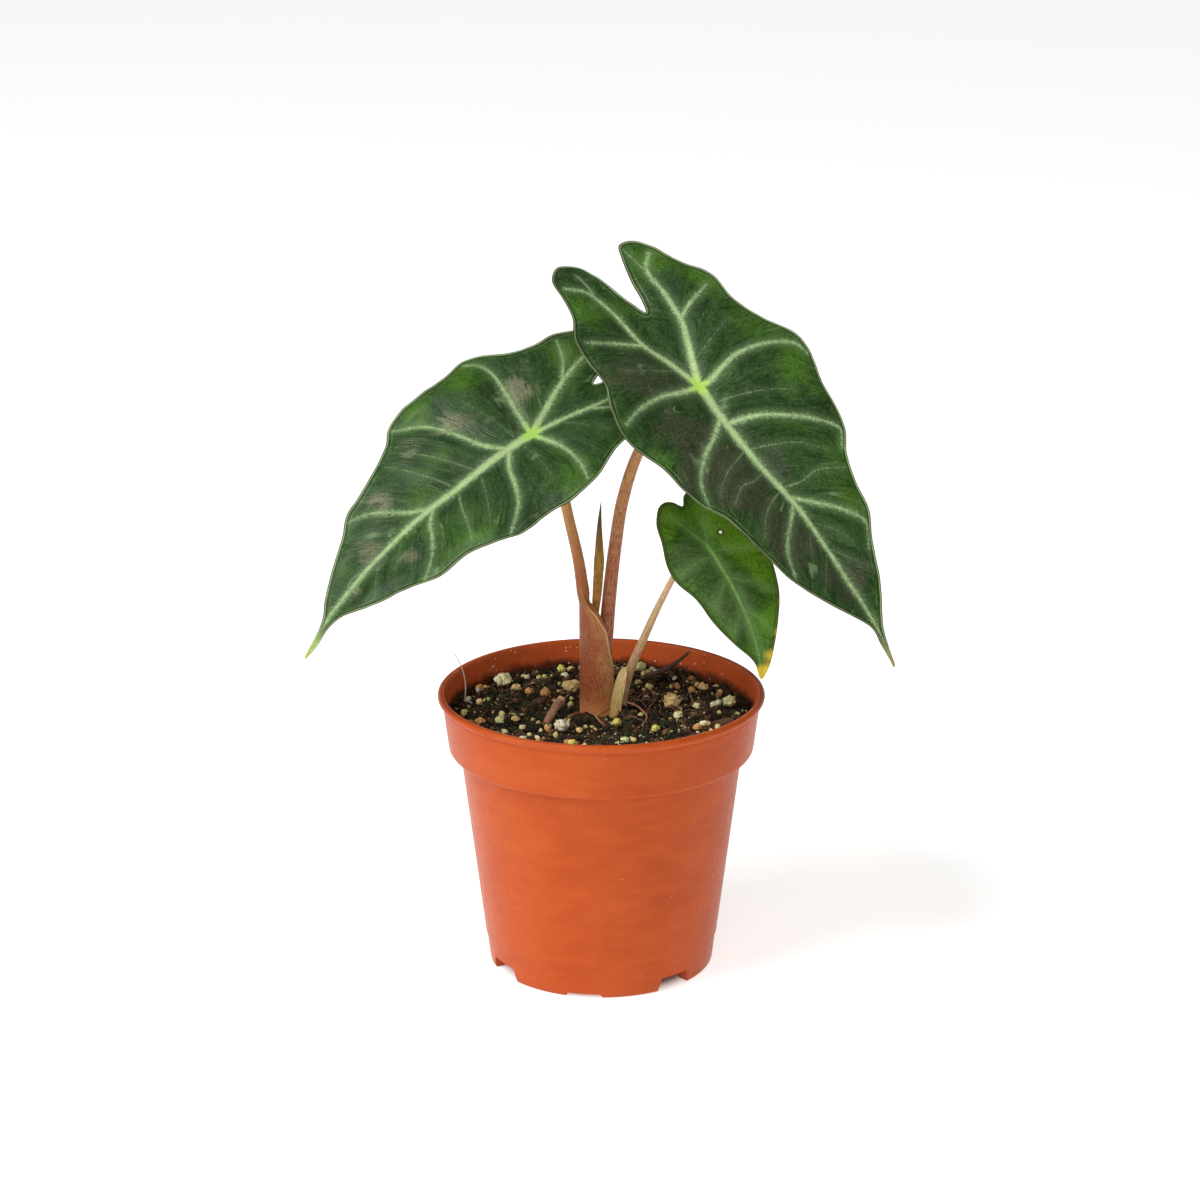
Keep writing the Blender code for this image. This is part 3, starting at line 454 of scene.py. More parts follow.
def plastic_material():
    """Moulded terracotta-coloured plastic: clouds, flow lines, dust and grit; inside, a soil stain and
    splashes over a brighter copy of the colour, painted light on the shaded inner wall.
    """
    made = Shade("moulded_plastic", 0.38, 0.13)
    where = made.place()
    clouds = made.noise(where, 22.0, 4.0, 0.55)
    mottle = made.noise(where, 1.6, 3.0, 0.7)
    height = made.split(where, 2)
    flow = made.noise(made.place((0.25, 0.25, 1.0)), 3.5, 3.0)
    colour = made.over(POT_LOOK["clay"], POT_LOOK["pale_clay"], clouds, 0.3, 0.7)
    colour = made.over(colour, POT_LOOK["mottle"], mottle, 0.3, 0.7, 0.0, 0.35)
    colour = made.over(colour, POT_LOOK["flow"], flow, 0.4, 0.7, 0.0, 0.25)
    foot = made.plus(height, made.times(mottle, 3.0))
    colour = made.over(colour, POT_LOOK["foot"], foot, 6.0, 0.5, 0.0, 0.5)

    dust = made.ramp(made.cells(where, 3.4), 0.03, 0.055, 1.0, 0.0)
    dust = made.times(dust, made.ramp(made.noise(where, 5.0), 0.56, 0.6))
    colour = made.mix(made.times(dust, 0.8), colour, POT_LOOK["dust"])
    grit = made.ramp(made.cells(made.place((1.0, 1.03, 0.98)), 8.5), 0.018, 0.032, 1.0, 0.0)
    colour = made.mix(made.times(grit, 0.85), colour, POT_LOOK["grit"])

    # Inside: a brighter copy of the plastic's colour, painted light on the shaded inner wall, with a
    # soil line, splashes and white specks of perlite
    inner = made.attribute("inner")
    deep = made.over(POT_LOOK["inside"], POT_LOOK["dark_inside"], clouds, 0.3, 0.7)
    stain = made.plus(height, made.times(made.noise(where, 4.5, 4.0), 5.0))
    deep = made.over(deep, POT_LOOK["soil_line"], stain, 93.4, 90.2, 0.0, 0.85)
    specks = made.ramp(made.cells(made.place((1.02, 1.0, 1.0)), 1.9), 0.12, 0.19, 1.0, 0.0)
    specks = made.times(specks, made.ramp(made.noise(where, 8.0), 0.5, 0.58))
    deep = made.mix(specks, deep, POT_LOOK["specks"])
    colour = made.over(colour, deep, inner, 0.45, 0.55)

    rough = made.ramp(mottle, 0.25, 0.75, 0.30, 0.44)
    rough = made.plus(rough, made.times(dust, 0.3))
    normal = made.bump(made.noise(where, 0.5, 3.0), 0.018)
    normal = made.bump(clouds, 0.5, normal)
    normal = made.bump(made.plus(dust, grit), 0.12, normal)
    return made.finish(colour, rough, normal)


def soil_material():
    """Damp potting mix: near-black peat with brown crumbs, moss, rusty spots and pale dust."""
    made = Shade("potting_mix", 0.9, 0.25)
    where = made.place()
    crumbs = made.cells(where, 1.3, "Color")
    lump = made.split(crumbs, 0)
    fine = made.noise(where, 0.7, 4.0, 0.7)
    colour = made.over(SOIL_LOOK["peat"], SOIL_LOOK["crumb"], lump, 0.3, 1.0)
    colour = made.over(colour, SOIL_LOOK["fibre"], fine, 0.54, 0.72, 0.0, 0.85)
    moss = made.plus(made.noise(where, 7.5, 3.0), made.times(fine, 0.25))
    colour = made.over(colour, SOIL_LOOK["moss"], moss, 0.66, 0.78, 0.0, 0.75)
    rust = made.noise(made.place((1.0, 1.0, 1.02)), 6.0, 3.0)
    colour = made.over(colour, SOIL_LOOK["rust"], rust, 0.6, 0.72, 0.0, 0.6)
    dust = made.ramp(made.cells(where, 1.15), 0.1, 0.17, 1.0, 0.0)
    dust = made.times(dust, made.ramp(made.noise(where, 3.0), 0.54, 0.62))
    colour = made.mix(dust, colour, SOIL_LOOK["dust"])
    normal = made.bump(fine, 0.6)
    normal = made.bump(made.cells(where, 0.9), 0.4, normal)
    return made.finish(colour, made.ramp(fine, 0.3, 0.7, 0.72, 0.98), normal)


def tinted_material(name, roughness, pore, depth, contrast, specular=0.3):
    """Small loose bits: each takes the tint stored on it, broken up by pores and dirt."""
    made = Shade(name, roughness, specular)
    where = made.place()
    tint = made.attribute("tint", "Color")
    fine = made.noise(where, pore, 4.0, 0.7)
    darkening = made.noise(where, pore * 3.2, 3.0, 0.6)
    colour = made.over(tint, made.mix(0.75, tint, (0.03, 0.018, 0.009)), fine, 0.3, 0.7, contrast, 0.0)
    colour = made.over(colour, made.mix(0.7, colour, (0.10, 0.05, 0.02)), darkening, 0.52, 0.7, 0.0, contrast)
    pits = made.ramp(made.cells(where, pore * 1.3), 0.0, 0.45)
    normal = made.bump(pits, depth)
    rough = made.ramp(fine, 0.3, 0.7, roughness - 0.1, roughness)
    return made.finish(colour, rough, made.bump(fine, depth, normal))


def wood_material():
    """Dry woody bits: long grain, dark bark and a paler tone where 'tint' says so."""
    made = Shade("dry_wood", 0.75, 0.25)
    along, around = made.attribute("along"), made.attribute("around")
    grain = made.noise(made.joined(around, made.times(along, 0.22)), 0.5, 4.0, 0.7)
    tint = made.attribute("tint", "Color")
    colour = made.over(tint, made.mix(0.7, tint, (0.03, 0.012, 0.008)), grain, 0.35, 0.6, 0.8, 0.0)
    colour = made.over(colour, made.mix(0.4, colour, (0.6, 0.42, 0.28)), grain, 0.6, 0.75, 0.0, 0.5)
    return made.finish(colour, made.ramp(grain, 0.3, 0.7, 0.65, 0.85), made.bump(grain, 0.2))


def corm_material():
    """The buried rhizome's brown, ringed skin."""
    made = Shade("corm_skin", 0.8, 0.25)
    rings = made.noise(made.place((0.2, 0.2, 1.0)), 1.2, 4.0, 0.7)
    colour = made.over((0.10, 0.05, 0.025), (0.26, 0.14, 0.07), rings, 0.35, 0.65)
    return made.finish(colour, made.ramp(rings, 0.3, 0.7, 0.7, 0.9), made.bump(rings, 0.3))


# Meshes


def new_piece(name, points, faces, material, stands_for=(), attributes=None, sharp=None):
    """A mesh from points in millimetres that rides on the plant's one body."""
    mesh = bpy.data.meshes.new(name)
    mesh.from_pydata((np.asarray(points, float) * MM).tolist(), [], faces)
    mesh.update()
    for key, values in (attributes or {}).items():
        values = np.asarray(values, np.float32)
        if values.ndim == 1:
            mesh.attributes.new(key, "FLOAT", "POINT").data.foreach_set("value", values)
        else:
            rgba = np.column_stack([values, np.ones(len(values), np.float32)])
            mesh.attributes.new(key, "FLOAT_COLOR", "POINT").data.foreach_set("color", rgba.ravel())
    mesh.shade_smooth()
    if sharp:
        mesh.set_sharp_from_angle(angle=math.radians(sharp))
    mesh.materials.append(material)
    piece = bpy.data.objects.new(name, mesh)
    bpy.context.scene.collection.objects.link(piece)
    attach(piece, BODY)
    if stands_for:
        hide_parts(*stands_for)
    return piece


def skin(rings, closed_ends=True):
    """Faces that join rings of equally many points, with a fan of triangles on each end's middle.

    Returns the points, with the two middles last, and the faces.
    """
    rings = np.asarray(rings, float)
    count, sides = rings.shape[:2]
    points = rings.reshape(-1, 3)
    faces = []
    for k in range(count - 1):
        for i in range(sides):
            j = (i + 1) % sides
            low = k * sides
            faces.append((low + i, low + j, low + sides + j, low + sides + i))
    if closed_ends:
        points = np.vstack([points, rings[0].mean(0), rings[-1].mean(0)])
        first, last = len(points) - 2, len(points) - 1
        top = (count - 1) * sides
        for i in range(sides):
            j = (i + 1) % sides
            faces.append((first, j, i))
            faces.append((last, top + i, top + j))
    return points, faces


def turns_of(sides):
    """The angles of evenly spaced points round a circle."""
    return np.linspace(0, 2 * math.pi, sides, endpoint=False)


def level_ring(radius, angles, z, x=0.0, y=0.0):
    """Points round a vertical axis at one height."""
    across, along = x + radius * np.cos(angles), y + radius * np.sin(angles)
    return np.column_stack([across, along, np.full(len(angles), z)])


def tube_rings(path, radii, turns, flat=1.0):
    """Rings square to a path, with a point at each of the turns. flat is their depth over width."""
    path = np.asarray(path, float)
    tangents = np.gradient(path, axis=0)
    tangents /= np.linalg.norm(tangents, axis=1)[:, None]
    across = np.array((1.0, 0.0, 0.0))
    rings = []
    for centre, tangent, radius in zip(path, tangents, np.broadcast_to(radii, len(path))):
        if abs(across @ tangent) > 0.98:
            across = np.array((0.0, 1.0, 0.0))
        across = across - tangent * (across @ tangent)
        across /= np.linalg.norm(across)
        other = np.cross(tangent, across)
        wide, deep = np.outer(np.cos(turns), across), np.outer(np.sin(turns), other)
        rings.append(centre + radius * (wide + flat * deep))
    return np.array(rings)


def swollen(rings, lumps):
    """Rings whose points stand off each ring's middle by the factors in lumps."""
    middles = rings.mean(1, keepdims=True)
    return middles + (rings - middles) * lumps.reshape(*rings.shape[:2], 1)


def ring_attributes(rings, round_size):
    """Values for a skin of rings: length along, way round in millimetres, and share of the rise."""
    count, sides = rings.shape[:2]
    middles = rings.mean(1)
    run = np.concatenate([[0], np.cumsum(np.linalg.norm(np.diff(middles, axis=0), axis=1))])
    turns = turns_of(sides)
    # The way round goes out and back, so that a pattern meets itself without a seam.
    way = round_size * np.abs(np.mod(turns / math.pi + 0.5, 2) - 1) * math.pi
    ends = [run[0], run[-1]]
    return {
        "along": np.concatenate([np.repeat(run, sides), ends]),
        "around": np.concatenate([np.tile(way, count), [0, 0]]),
        "rise": np.concatenate([np.repeat(run / run[-1], sides), [0, 1]]),
    }


def stretched(shares, count):
    return np.interp(np.linspace(0, 1, count), np.linspace(0, 1, len(shares)), shares)


# The pot

BEAD_MIDDLE = (53.8, 94.8)  # the rolled rim's (radius, height)
BEAD_RADIUS = 1.2
COLLAR_TOP = 93.6
COLLAR_BOTTOM = 76.1
COLLAR_TOP_RADIUS = 53.5
COLLAR_BOTTOM_RADIUS = 51.225
BODY_TOP_RADIUS = 47.625
WALL = 1.1
BASE_RADIUS = 38.0
SKIRT_HEIGHT = 10.0
FOOT_HEIGHT = 5.0
FOOT_INNER = 33.6
FLOOR_TOP = 6.5
POT_SIDES = 240

# (middle angle from +X in degrees, width across the foot, height)
FOOT_NOTCHES = (
    (-50.0, 12.5, 4.8),
    (-149.5, 14.0, 4.8),
    (30.5, 14.0, 4.8),
    (130.0, 12.5, 4.8),
    (-98.7, 12.4, 1.4),
    (81.3, 12.4, 1.4),
)
NOTCH_SPLAY = 1.5
DRAIN_RADIUS = 4.0
DRAIN_CIRCLE = 26.0


def rounded(profile, steps=4):
    """A profile of (radius, height, corner radius) with an arc of that size at each corner."""
    points = [tuple(profile[0][:2])]
    for before, corner, after in zip(profile, profile[1:], profile[2:]):
        here, size = np.array(corner[:2]), corner[2]
        to_last, to_next = np.array(before[:2]) - here, np.array(after[:2]) - here
        far = min(size, 0.45 * np.linalg.norm(to_last), 0.45 * np.linalg.norm(to_next))
        start = here + to_last / np.linalg.norm(to_last) * far
        end = here + to_next / np.linalg.norm(to_next) * far
        for t in np.linspace(0, 1, steps + 1) if size else ():
            points.append(tuple((1 - t) ** 2 * start + 2 * t * (1 - t) * here + t * t * end))
        if not size:
            points.append(tuple(here))
    return points + [tuple(profile[-1][:2])]


def pot_profile():
    """(inner wall, outer wall) down the pot, as (radius, height) lists from the mouth."""
    skirt = BASE_RADIUS + (BODY_TOP_RADIUS - BASE_RADIUS) * SKIRT_HEIGHT / COLLAR_BOTTOM
    bead = [
        (BEAD_MIDDLE[0] + BEAD_RADIUS * math.cos(a), BEAD_MIDDLE[1] + BEAD_RADIUS * math.sin(a))
        for a in np.radians(np.linspace(100, -75, 13))
    ]
    inner = rounded(
        [
            (53.0, POT_HEIGHT - 0.15, 0),
            (COLLAR_TOP_RADIUS - WALL + 0.2, 94.9, 0.5),
            (COLLAR_BOTTOM_RADIUS - WALL, COLLAR_BOTTOM + 1.7, 1.0),
            (BODY_TOP_RADIUS - WALL, COLLAR_BOTTOM + 0.2, 1.0),
            (skirt - WALL, SKIRT_HEIGHT, 1.0),
            (skirt - WALL - 1.6, FLOOR_TOP, 1.2),
            (0.0, FLOOR_TOP, 0),
        ]
    )
    outer = rounded(
        [
            (COLLAR_TOP_RADIUS + 0.12, COLLAR_TOP - 0.1, 0),
            (COLLAR_TOP_RADIUS - 0.22, COLLAR_TOP - 0.7, 0.3),
            (COLLAR_TOP_RADIUS - 0.15, COLLAR_TOP - 1.6, 0.5),
            (COLLAR_BOTTOM_RADIUS + 0.1, COLLAR_BOTTOM, 1.3),
            (BODY_TOP_RADIUS, COLLAR_BOTTOM - 0.6, 0.7),
            (skirt + 0.28, SKIRT_HEIGHT + 0.2, 0.12),
            (skirt - 0.02, SKIRT_HEIGHT - 0.1, 0.2),
            (BASE_RADIUS + 0.05, 0.0, 0.9),
            (FOOT_INNER, 0.0, 0.4),
            (FOOT_INNER - 0.6, FOOT_HEIGHT, 0.5),
            (0.0, FOOT_HEIGHT, 0),
        ]
    )
    return inner, bead + outer


def notch_tool(angle, width, height):
    """A wedge that opens the foot, wider at the floor than at its top."""
    turn = math.radians(angle)
    points = []
    for radius in (FOOT_INNER - 1.5, BASE_RADIUS + 4):
        for half, z in (((width + NOTCH_SPLAY) / 2, -1.0), ((width - NOTCH_SPLAY) / 2, height)):
            for side in (-1, 1):
                x = radius * math.cos(turn) - side * half * math.sin(turn)
                y = radius * math.sin(turn) + side * half * math.cos(turn)
                points.append((x, y, z))
    faces = [(0, 1, 3, 2), (4, 6, 7, 5), (0, 4, 5, 1), (2, 3, 7, 6), (0, 2, 6, 4), (1, 5, 7, 3)]
    return points, faces


def drain_tool(angle):
    turn = math.radians(angle)
    x, y = DRAIN_CIRCLE * math.cos(turn), DRAIN_CIRCLE * math.sin(turn)
    path = [(x, y, FOOT_HEIGHT - 1), (x, y, FLOOR_TOP + 1)]
    return skin(tube_rings(path, DRAIN_RADIUS, turns_of(32)))


def make_pot(material):
    inner, outer = pot_profile()
    profile = inner[::-1] + outer
    turns = turns_of(POT_SIDES)
    rings = [level_ring(r, turns, z) for r, z in profile[1:-1]]
    points, faces = skin(rings)
    points[-2], points[-1] = (0, 0, profile[0][1]), (0, 0, profile[-1][1])
    faces = [face[::-1] for face in faces]
    inside_rings = len(inner) - 1
    inner_share = np.repeat([1.0] * inside_rings + [0.0] * (len(rings) - inside_rings), POT_SIDES)
    inner_share = np.concatenate([inner_share, [1.0, 0.0]])
    pot = new_piece(
        "moulded_pot", points, faces, material, ("pot",), {"inner": inner_share}
    )
    tools = [notch_tool(*notch) for notch in FOOT_NOTCHES]
    tools += [drain_tool(angle) for angle, _, height in FOOT_NOTCHES if height > FOOT_HEIGHT / 2]
    for points, faces in tools:
        mesh = bpy.data.meshes.new("cutter")
        mesh.from_pydata((np.array(points) * MM).tolist(), [], faces)
        shell = bmesh.new()
        shell.from_mesh(mesh)
        bmesh.ops.recalc_face_normals(shell, faces=shell.faces)
        shell.to_mesh(mesh)
        shell.free()
        cutter = bpy.data.objects.new("cutter", mesh)
        bpy.context.scene.collection.objects.link(cutter)
        boolean = pot.modifiers.new("cut", "BOOLEAN")
        boolean.operation = "DIFFERENCE"
        boolean.solver = "EXACT"
        boolean.object = cutter
        bpy.context.view_layer.update()
        with bpy.context.temp_override(object=pot, active_object=pot):
            bpy.ops.object.modifier_apply(modifier=boolean.name)
        bpy.data.objects.remove(cutter)
    pot.data.set_sharp_from_angle(angle=math.radians(38))
    return pot


# Leaves. Margins and veins are (u, v) points in each leaf's plane.

RIGHT_MARGIN = (
    (111.4, 0.0), (105.0, 1.8), (98.0, 4.0), (88.5, 9.6), (73.5, 16.5), (64.0, 21.7), (55.0, 23.0),
    (45.0, 26.3), (38.0, 31.4), (30.0, 34.6), (19.0, 36.4), (8.0, 39.8), (0.0, 40.2), (-10.0, 35.7),
    (-21.5, 31.8), (-32.0, 32.0), (-42.5, 26.5), (-51.0, 24.5), (-57.0, 20.5), (-58.0, 15.5),
    (-53.5, 12.5), (-44.0, 8.5), (-36.0, 6.2), (-31.7, 4.2), (-38.5, 2.6), (-52.0, 0.8), (-58.5, -2.0),
    (-61.2, -8.0), (-57.5, -14.7), (-50.0, -17.5), (-42.0, -20.5), (-33.5, -27.0), (-25.0, -29.0),
    (-15.0, -30.5), (-6.5, -35.7), (3.0, -38.5), (10.5, -37.0), (18.5, -34.0), (29.0, -33.6),
    (37.0, -31.3), (43.0, -27.0), (52.0, -24.0), (62.5, -22.0), (71.0, -19.5), (79.5, -14.3),
    (88.5, -7.4), (97.2, -0.3), (103.5, -0.3),
)

LEFT_MARGIN = (
    (106.6, 0.0), (101.0, 0.6), (94.2, -0.5), (89.0, 0.8), (79.5, 8.3), (68.3, 14.6), (60.0, 19.8),
    (49.0, 21.6), (40.0, 26.0), (32.4, 30.2), (21.3, 30.7), (11.0, 33.0), (0.5, 32.6), (-8.0, 29.2),
    (-14.5, 27.0), (-25.0, 25.5), (-36.0, 22.0), (-45.0, 17.5), (-49.0, 11.0), (-45.5, 5.5),
    (-37.0, 1.5), (-29.2, -1.5), (-37.0, -4.5), (-46.0, -7.5), (-51.5, -12.5), (-49.5, -19.0),
    (-41.0, -22.2), (-34.6, -25.4), (-26.4, -26.2), (-18.5, -29.6), (-11.5, -36.0), (-5.4, -38.2),
    (4.2, -36.7), (14.6, -37.7), (23.0, -38.5), (30.0, -36.5), (35.3, -32.3), (44.6, -27.9),
    (55.8, -24.6), (62.2, -23.3), (68.2, -19.3), (79.0, -13.6), (88.0, -8.2), (93.0, -4.5), (99.5, -2.1),
)

SMALL_MARGIN = (
    (47.1, 0.0), (44.0, 4.0), (37.2, 8.5), (30.0, 12.4), (22.9, 15.6), (15.2, 17.4), (5.0, 18.0),
    (-4.0, 17.0), (-12.0, 14.0), (-18.5, 10.0), (-21.0, 5.0), (-19.5, 1.0), (-16.0, -1.3),
    (-18.5, -3.8), (-19.3, -6.2), (-18.3, -8.8), (-15.8, -10.8), (-12.3, -12.6), (-6.3, -13.8),
    (2.0, -15.9), (8.4, -15.2), (15.7, -11.7), (24.9, -9.2), (33.7, -5.0), (41.5, -0.4),
)

# (half width at the start, half width at the end, strength, place in the flow, points). The flow
# is a number that grows from the lobes to the tip, so that fine streaks run along the side veins.
# The first vein is the midrib, which has no place of its own.
RIGHT_VEINS = (
    (1.70, 0.42, 1.0, None,
     ((0, 0), (14.8, -1.6), (31, -1.3), (50.7, 0.9), (73.4, 1.3), (95.2, 1.7), (111, 0.2))),
    (1.36, 0.42, 1.0, -40,
     ((0, 0), (-11.9, -2.8), (-21.8, -6.4), (-34.9, -6.0), (-47.1, -7.2), (-52.5, -13.5))),
    (0.61, 0.17, 0.7, -52, ((-44.5, -6.6), (-50.0, -5.4), (-55.5, -5.6))),
    (0.75, 0.21, 0.85, -22, ((-21.9, -7.3), (-26.3, -15.2), (-31.1, -24.2))),
    (1.36, 0.42, 1.0, -38,
     ((-2.3, 1.1), (-13.2, 6.6), (-23.5, 11.7), (-34.3, 13.6), (-45.1, 15.6), (-49.9, 20.9))),
    (0.25, 0.10, 0.5, -52, ((-43.1, 15.2), (-50.6, 14.9), (-55.8, 15.2))),
    (0.75, 0.25, 0.85, -24, ((-24.0, 12.2), (-26.8, 18.2), (-29.7, 27.6))),
    (1.09, 0.31, 0.95, 0,
     ((0.0, 1.2), (0.2, 4.2), (-1.7, 10.8), (-3.1, 18.6), (-1.0, 30.0), (3.4, 37.0), (9.0, 38.6))),
    (0.98, 0.25, 0.95, 18,
     ((16.3, 0.0), (18.1, 7.5), (20.7, 13.0), (27.8, 23.1), (36.3, 30.2), (42.5, 26.6))),
    (0.16, 0.08, 0.45, 34, ((43.5, 0.5), (45.0, 7.7), (44.5, 13.5), (48.7, 23.2))),
    (0.75, 0.21, 0.85, 48, ((47.5, 1.0), (53.1, 7.1), (58.5, 12.8), (67.2, 18.3), (75.0, 14.4))),
    (0.12, 0.06, 0.35, 66, ((67.0, 1.5), (73.5, 5.5), (80.0, 10.2))),
    (1.09, 0.28, 0.95, 2, ((0.2, -0.6), (-0.9, -8.9), (-2.2, -15.5), (-1.4, -27.8), (0.8, -34.5))),
    (0.98, 0.22, 0.95, 18, ((13.5, -2.2), (18.3, -9.7), (22.0, -16.7), (29.9, -26.1), (38.5, -29.6))),
    (0.16, 0.08, 0.45, 34, ((36.0, -1.8), (37.5, -8.7), (37.3, -14.0), (41.5, -21.0))),
    (0.68, 0.20, 0.85, 50, ((50.5, 0.0), (56.0, -6.4), (58.6, -9.7), (63.8, -14.2), (72.0, -17.4))),
    (0.12, 0.06, 0.35, 66, ((69.0, 0.5), (74.5, -5.0), (81.0, -10.8))),
    (0.13, 0.06, 0.40, 26, ((26.5, -1.2), (28.5, -8.0), (31.0, -15.5), (35.5, -22.5))),
    (0.13, 0.06, 0.45, 43, ((44.0, 0.0), (46.0, -6.5), (49.5, -13.0), (55.5, -18.5))),
    (0.12, 0.06, 0.40, 9, ((7.5, -0.5), (9.5, 8.0), (12.0, 15.0), (17.0, 25.0))),
    (0.13, 0.06, 0.40, 27, ((27.0, -0.6), (30.5, 8.0), (34.5, 15.5), (41.0, 21.5))),
    (0.12, 0.06, 0.35, -10, ((-8.0, 4.2), (-12.0, 14.0), (-15.5, 24.0))),
    (0.12, 0.06, 0.35, -10, ((-8.0, -2.0), (-12.0, -12.0), (-16.5, -22.0))),
    (0.11, 0.05, 0.35, 57, ((57.0, 1.2), (63.0, 6.5), (70.5, 10.5))),
    (0.11, 0.05, 0.35, 60, ((59.0, 1.2), (65.0, -4.5), (73.0, -9.5))),
)

LEFT_VEINS = (
    (1.70, 0.49, 1.0, None,
     ((0, 0), (12.4, -1.3), (32.9, -2.7), (45.3, -4.2), (72.9, -4.4), (90.9, -3.2), (106, -0.3))),
    (1.29, 0.42, 1.0, -38, ((0, 0), (-12.7, -5.1), (-25.7, -9.6), (-36.0, -12.0), (-45.5, -14.5))),
    (0.68, 0.21, 0.8, -26, ((-22.0, -8.4), (-29.0, -14.9), (-33.5, -22.5))),
    (1.22, 0.42, 1.0, -38, ((0, 0), (-11.0, 3.0), (-20.1, 6.0), (-31.0, 9.0), (-42.0, 12.5))),
    (0.68, 0.21, 0.8, -24, ((-20.5, 6.2), (-25.5, 12.5), (-30.0, 20.5))),
    (0.95, 0.28, 0.95, 0,
     ((0, -0.5), (-3.3, -10.5), (-5.5, -16.4), (-8.6, -27.7), (-8.0, -33.0), (-4.5, -36.8))),
    (0.98, 0.25, 0.95, 16,
     ((9.5, -1.0), (14.3, -8.3), (16.0, -13.9), (18.4, -21.1), (21.9, -27.7), (29.5, -35.0))),
    (0.16, 0.08, 0.45, 32, ((31.0, -2.6), (34.5, -10.5), (37.5, -18.0), (41.5, -26.0))),
    (0.82, 0.22, 0.9, 46, ((42.5, -4.0), (48.6, -8.9), (52.1, -12.7), (57.1, -17.9), (64.5, -21.5))),
    (0.12, 0.06, 0.35, 66, ((64.0, -4.4), (69.0, -9.5), (76.5, -13.8))),
    (1.02, 0.28, 0.95, 2, ((0, 0.4), (-1.4, 7.5), (-2.0, 13.8), (-0.4, 23.8), (3.0, 31.0))),
    (0.98, 0.25, 0.95, 16, ((9.5, -1.0), (15.5, 6.1), (18.5, 11.9), (24.3, 20.1), (34.5, 27.6))),
    (0.18, 0.08, 0.5, 32, ((31.5, -2.6), (37.3, 7.0), (40.0, 12.5), (44.5, 19.8))),
    (0.68, 0.21, 0.85, 48, ((41.5, -3.8), (47.2, 1.0), (49.7, 4.8), (55.6, 11.3), (63.5, 16.3))),
    (0.12, 0.06, 0.35, 66, ((66.0, -4.4), (72.0, 1.0), (78.0, 7.0))),
    (0.13, 0.06, 0.45, 24, ((22.0, -2.0), (26.5, -12.0), (30.5, -20.0), (36.0, -28.0))),
    (0.12, 0.06, 0.40, 24, ((22.0, -2.0), (26.5, 6.0), (31.0, 13.0), (37.0, 20.5))),
    (0.12, 0.06, 0.35, -12, ((-9.0, -3.6), (-14.0, -13.0), (-19.0, -22.0))),
    (0.12, 0.06, 0.35, -12, ((-9.0, 2.4), (-13.0, 11.0), (-17.5, 20.0))),
    (0.11, 0.05, 0.35, 56, ((54.0, -4.4), (60.0, -10.0), (67.5, -15.5))),
    (0.11, 0.05, 0.35, 57, ((55.0, -4.4), (62.0, 1.5), (69.5, 7.5))),
    (0.12, 0.06, 0.35, 8, ((5.5, -0.7), (6.5, 10.0), (9.5, 21.0))),
    (0.12, 0.06, 0.35, 8, ((5.0, -0.7), (5.0, -12.0), (7.0, -25.0))),
)

SMALL_VEINS = (
    (0.74, 0.26, 0.90, None, ((0, 0), (12.1, 1.4), (25.5, 2.4), (39.2, 2.0), (47, 0.1))),
    (0.35, 0.13, 0.65, -16, ((0, 0), (-6.3, 1.8), (-15.5, 5.0))),
    (0.38, 0.13, 0.70, -14, ((0, 0), (-6.3, -3.0), (-14.0, -7.0))),
    (0.30, 0.10, 0.60, 4, ((4.2, 0.6), (4.0, -4.8), (6.5, -12.5))),
    (0.30, 0.10, 0.60, 16, ((11.5, 1.3), (15.7, -2.0), (21.0, -7.0))),
    (0.32, 0.10, 0.65, 2, ((2.0, 0.3), (3.3, 6.0), (5.3, 14.5))),
    (0.32, 0.10, 0.65, 14, ((12.3, 1.5), (15.5, 7.4), (20.6, 13.2))),
    (0.27, 0.10, 0.60, 28, ((24.0, 2.3), (28.5, 6.2), (33.5, 8.8))),
    (0.24, 0.10, 0.55, 28, ((24.0, 2.2), (27.5, -1.5), (32.0, -4.6))),
)

# Duller (below 0) and brighter (above 0) areas: (u, v, radius, amount). On the left leaf the areas below
# 0 sit on the bulges between the upper veins and carry a painted beige-grey highlight.
RIGHT_PATCHES = (
    (22, -22, 16, -0.68), (42, -12, 15, -0.62), (62, -8, 12, -0.62), (80, -2, 9, -0.5),
    (-14, -20, 15, -0.55), (82, 6, 9, -0.5), (10, -30, 9, -0.25), (-6, 4, 8, -0.25),
    (62, 9, 7, -0.2), (32, 8, 9, -0.25), (60, 19, 5, 0.4), (-32, 27, 9, 0.6), (-48, 20, 8, 0.5),
    (-14, 31, 7, 0.4), (13, 31, 7, 0.7), (24, 33, 6, 0.4), (-42, -15, 8, 0.6), (-27, -26, 6, 0.5),
    (16, -32, 6, 0.9), (88, 8, 4, 0.7), (96, 3, 4, 0.4), (40, 27, 6, 0.4), (-36, 4, 7, 0.3),
    (-30, 21, 6, -0.25), (4, 20, 8, -0.25), (48, -24, 5, 0.4),
)
LEFT_PATCHES_AND_SHEEN = (
    (-8, -16, 7, -0.58), (16, -24, 7, -0.52), (32, -24, 6, -0.5), (52, -17, 7, -0.66),
    (68, -6, 7, -0.64), (60, 5, 5, -0.64), (80, -2, 6, -0.6), (28, 15, 4, -0.36), (20, -33, 7, 0.5),
    (-2, -33, 6, 0.3), (-32, -16, 8, 0.4), (40, 22, 6, 0.4), (66, -20, 5, 0.3), (10, 29, 7, 0.3),
    (-38, 14, 8, 0.3), (42, -10, 6, 0.2), (76, -12, 5, 0.4), (26, -12, 8, 0.2), (12, 12, 9, 0.1),
)
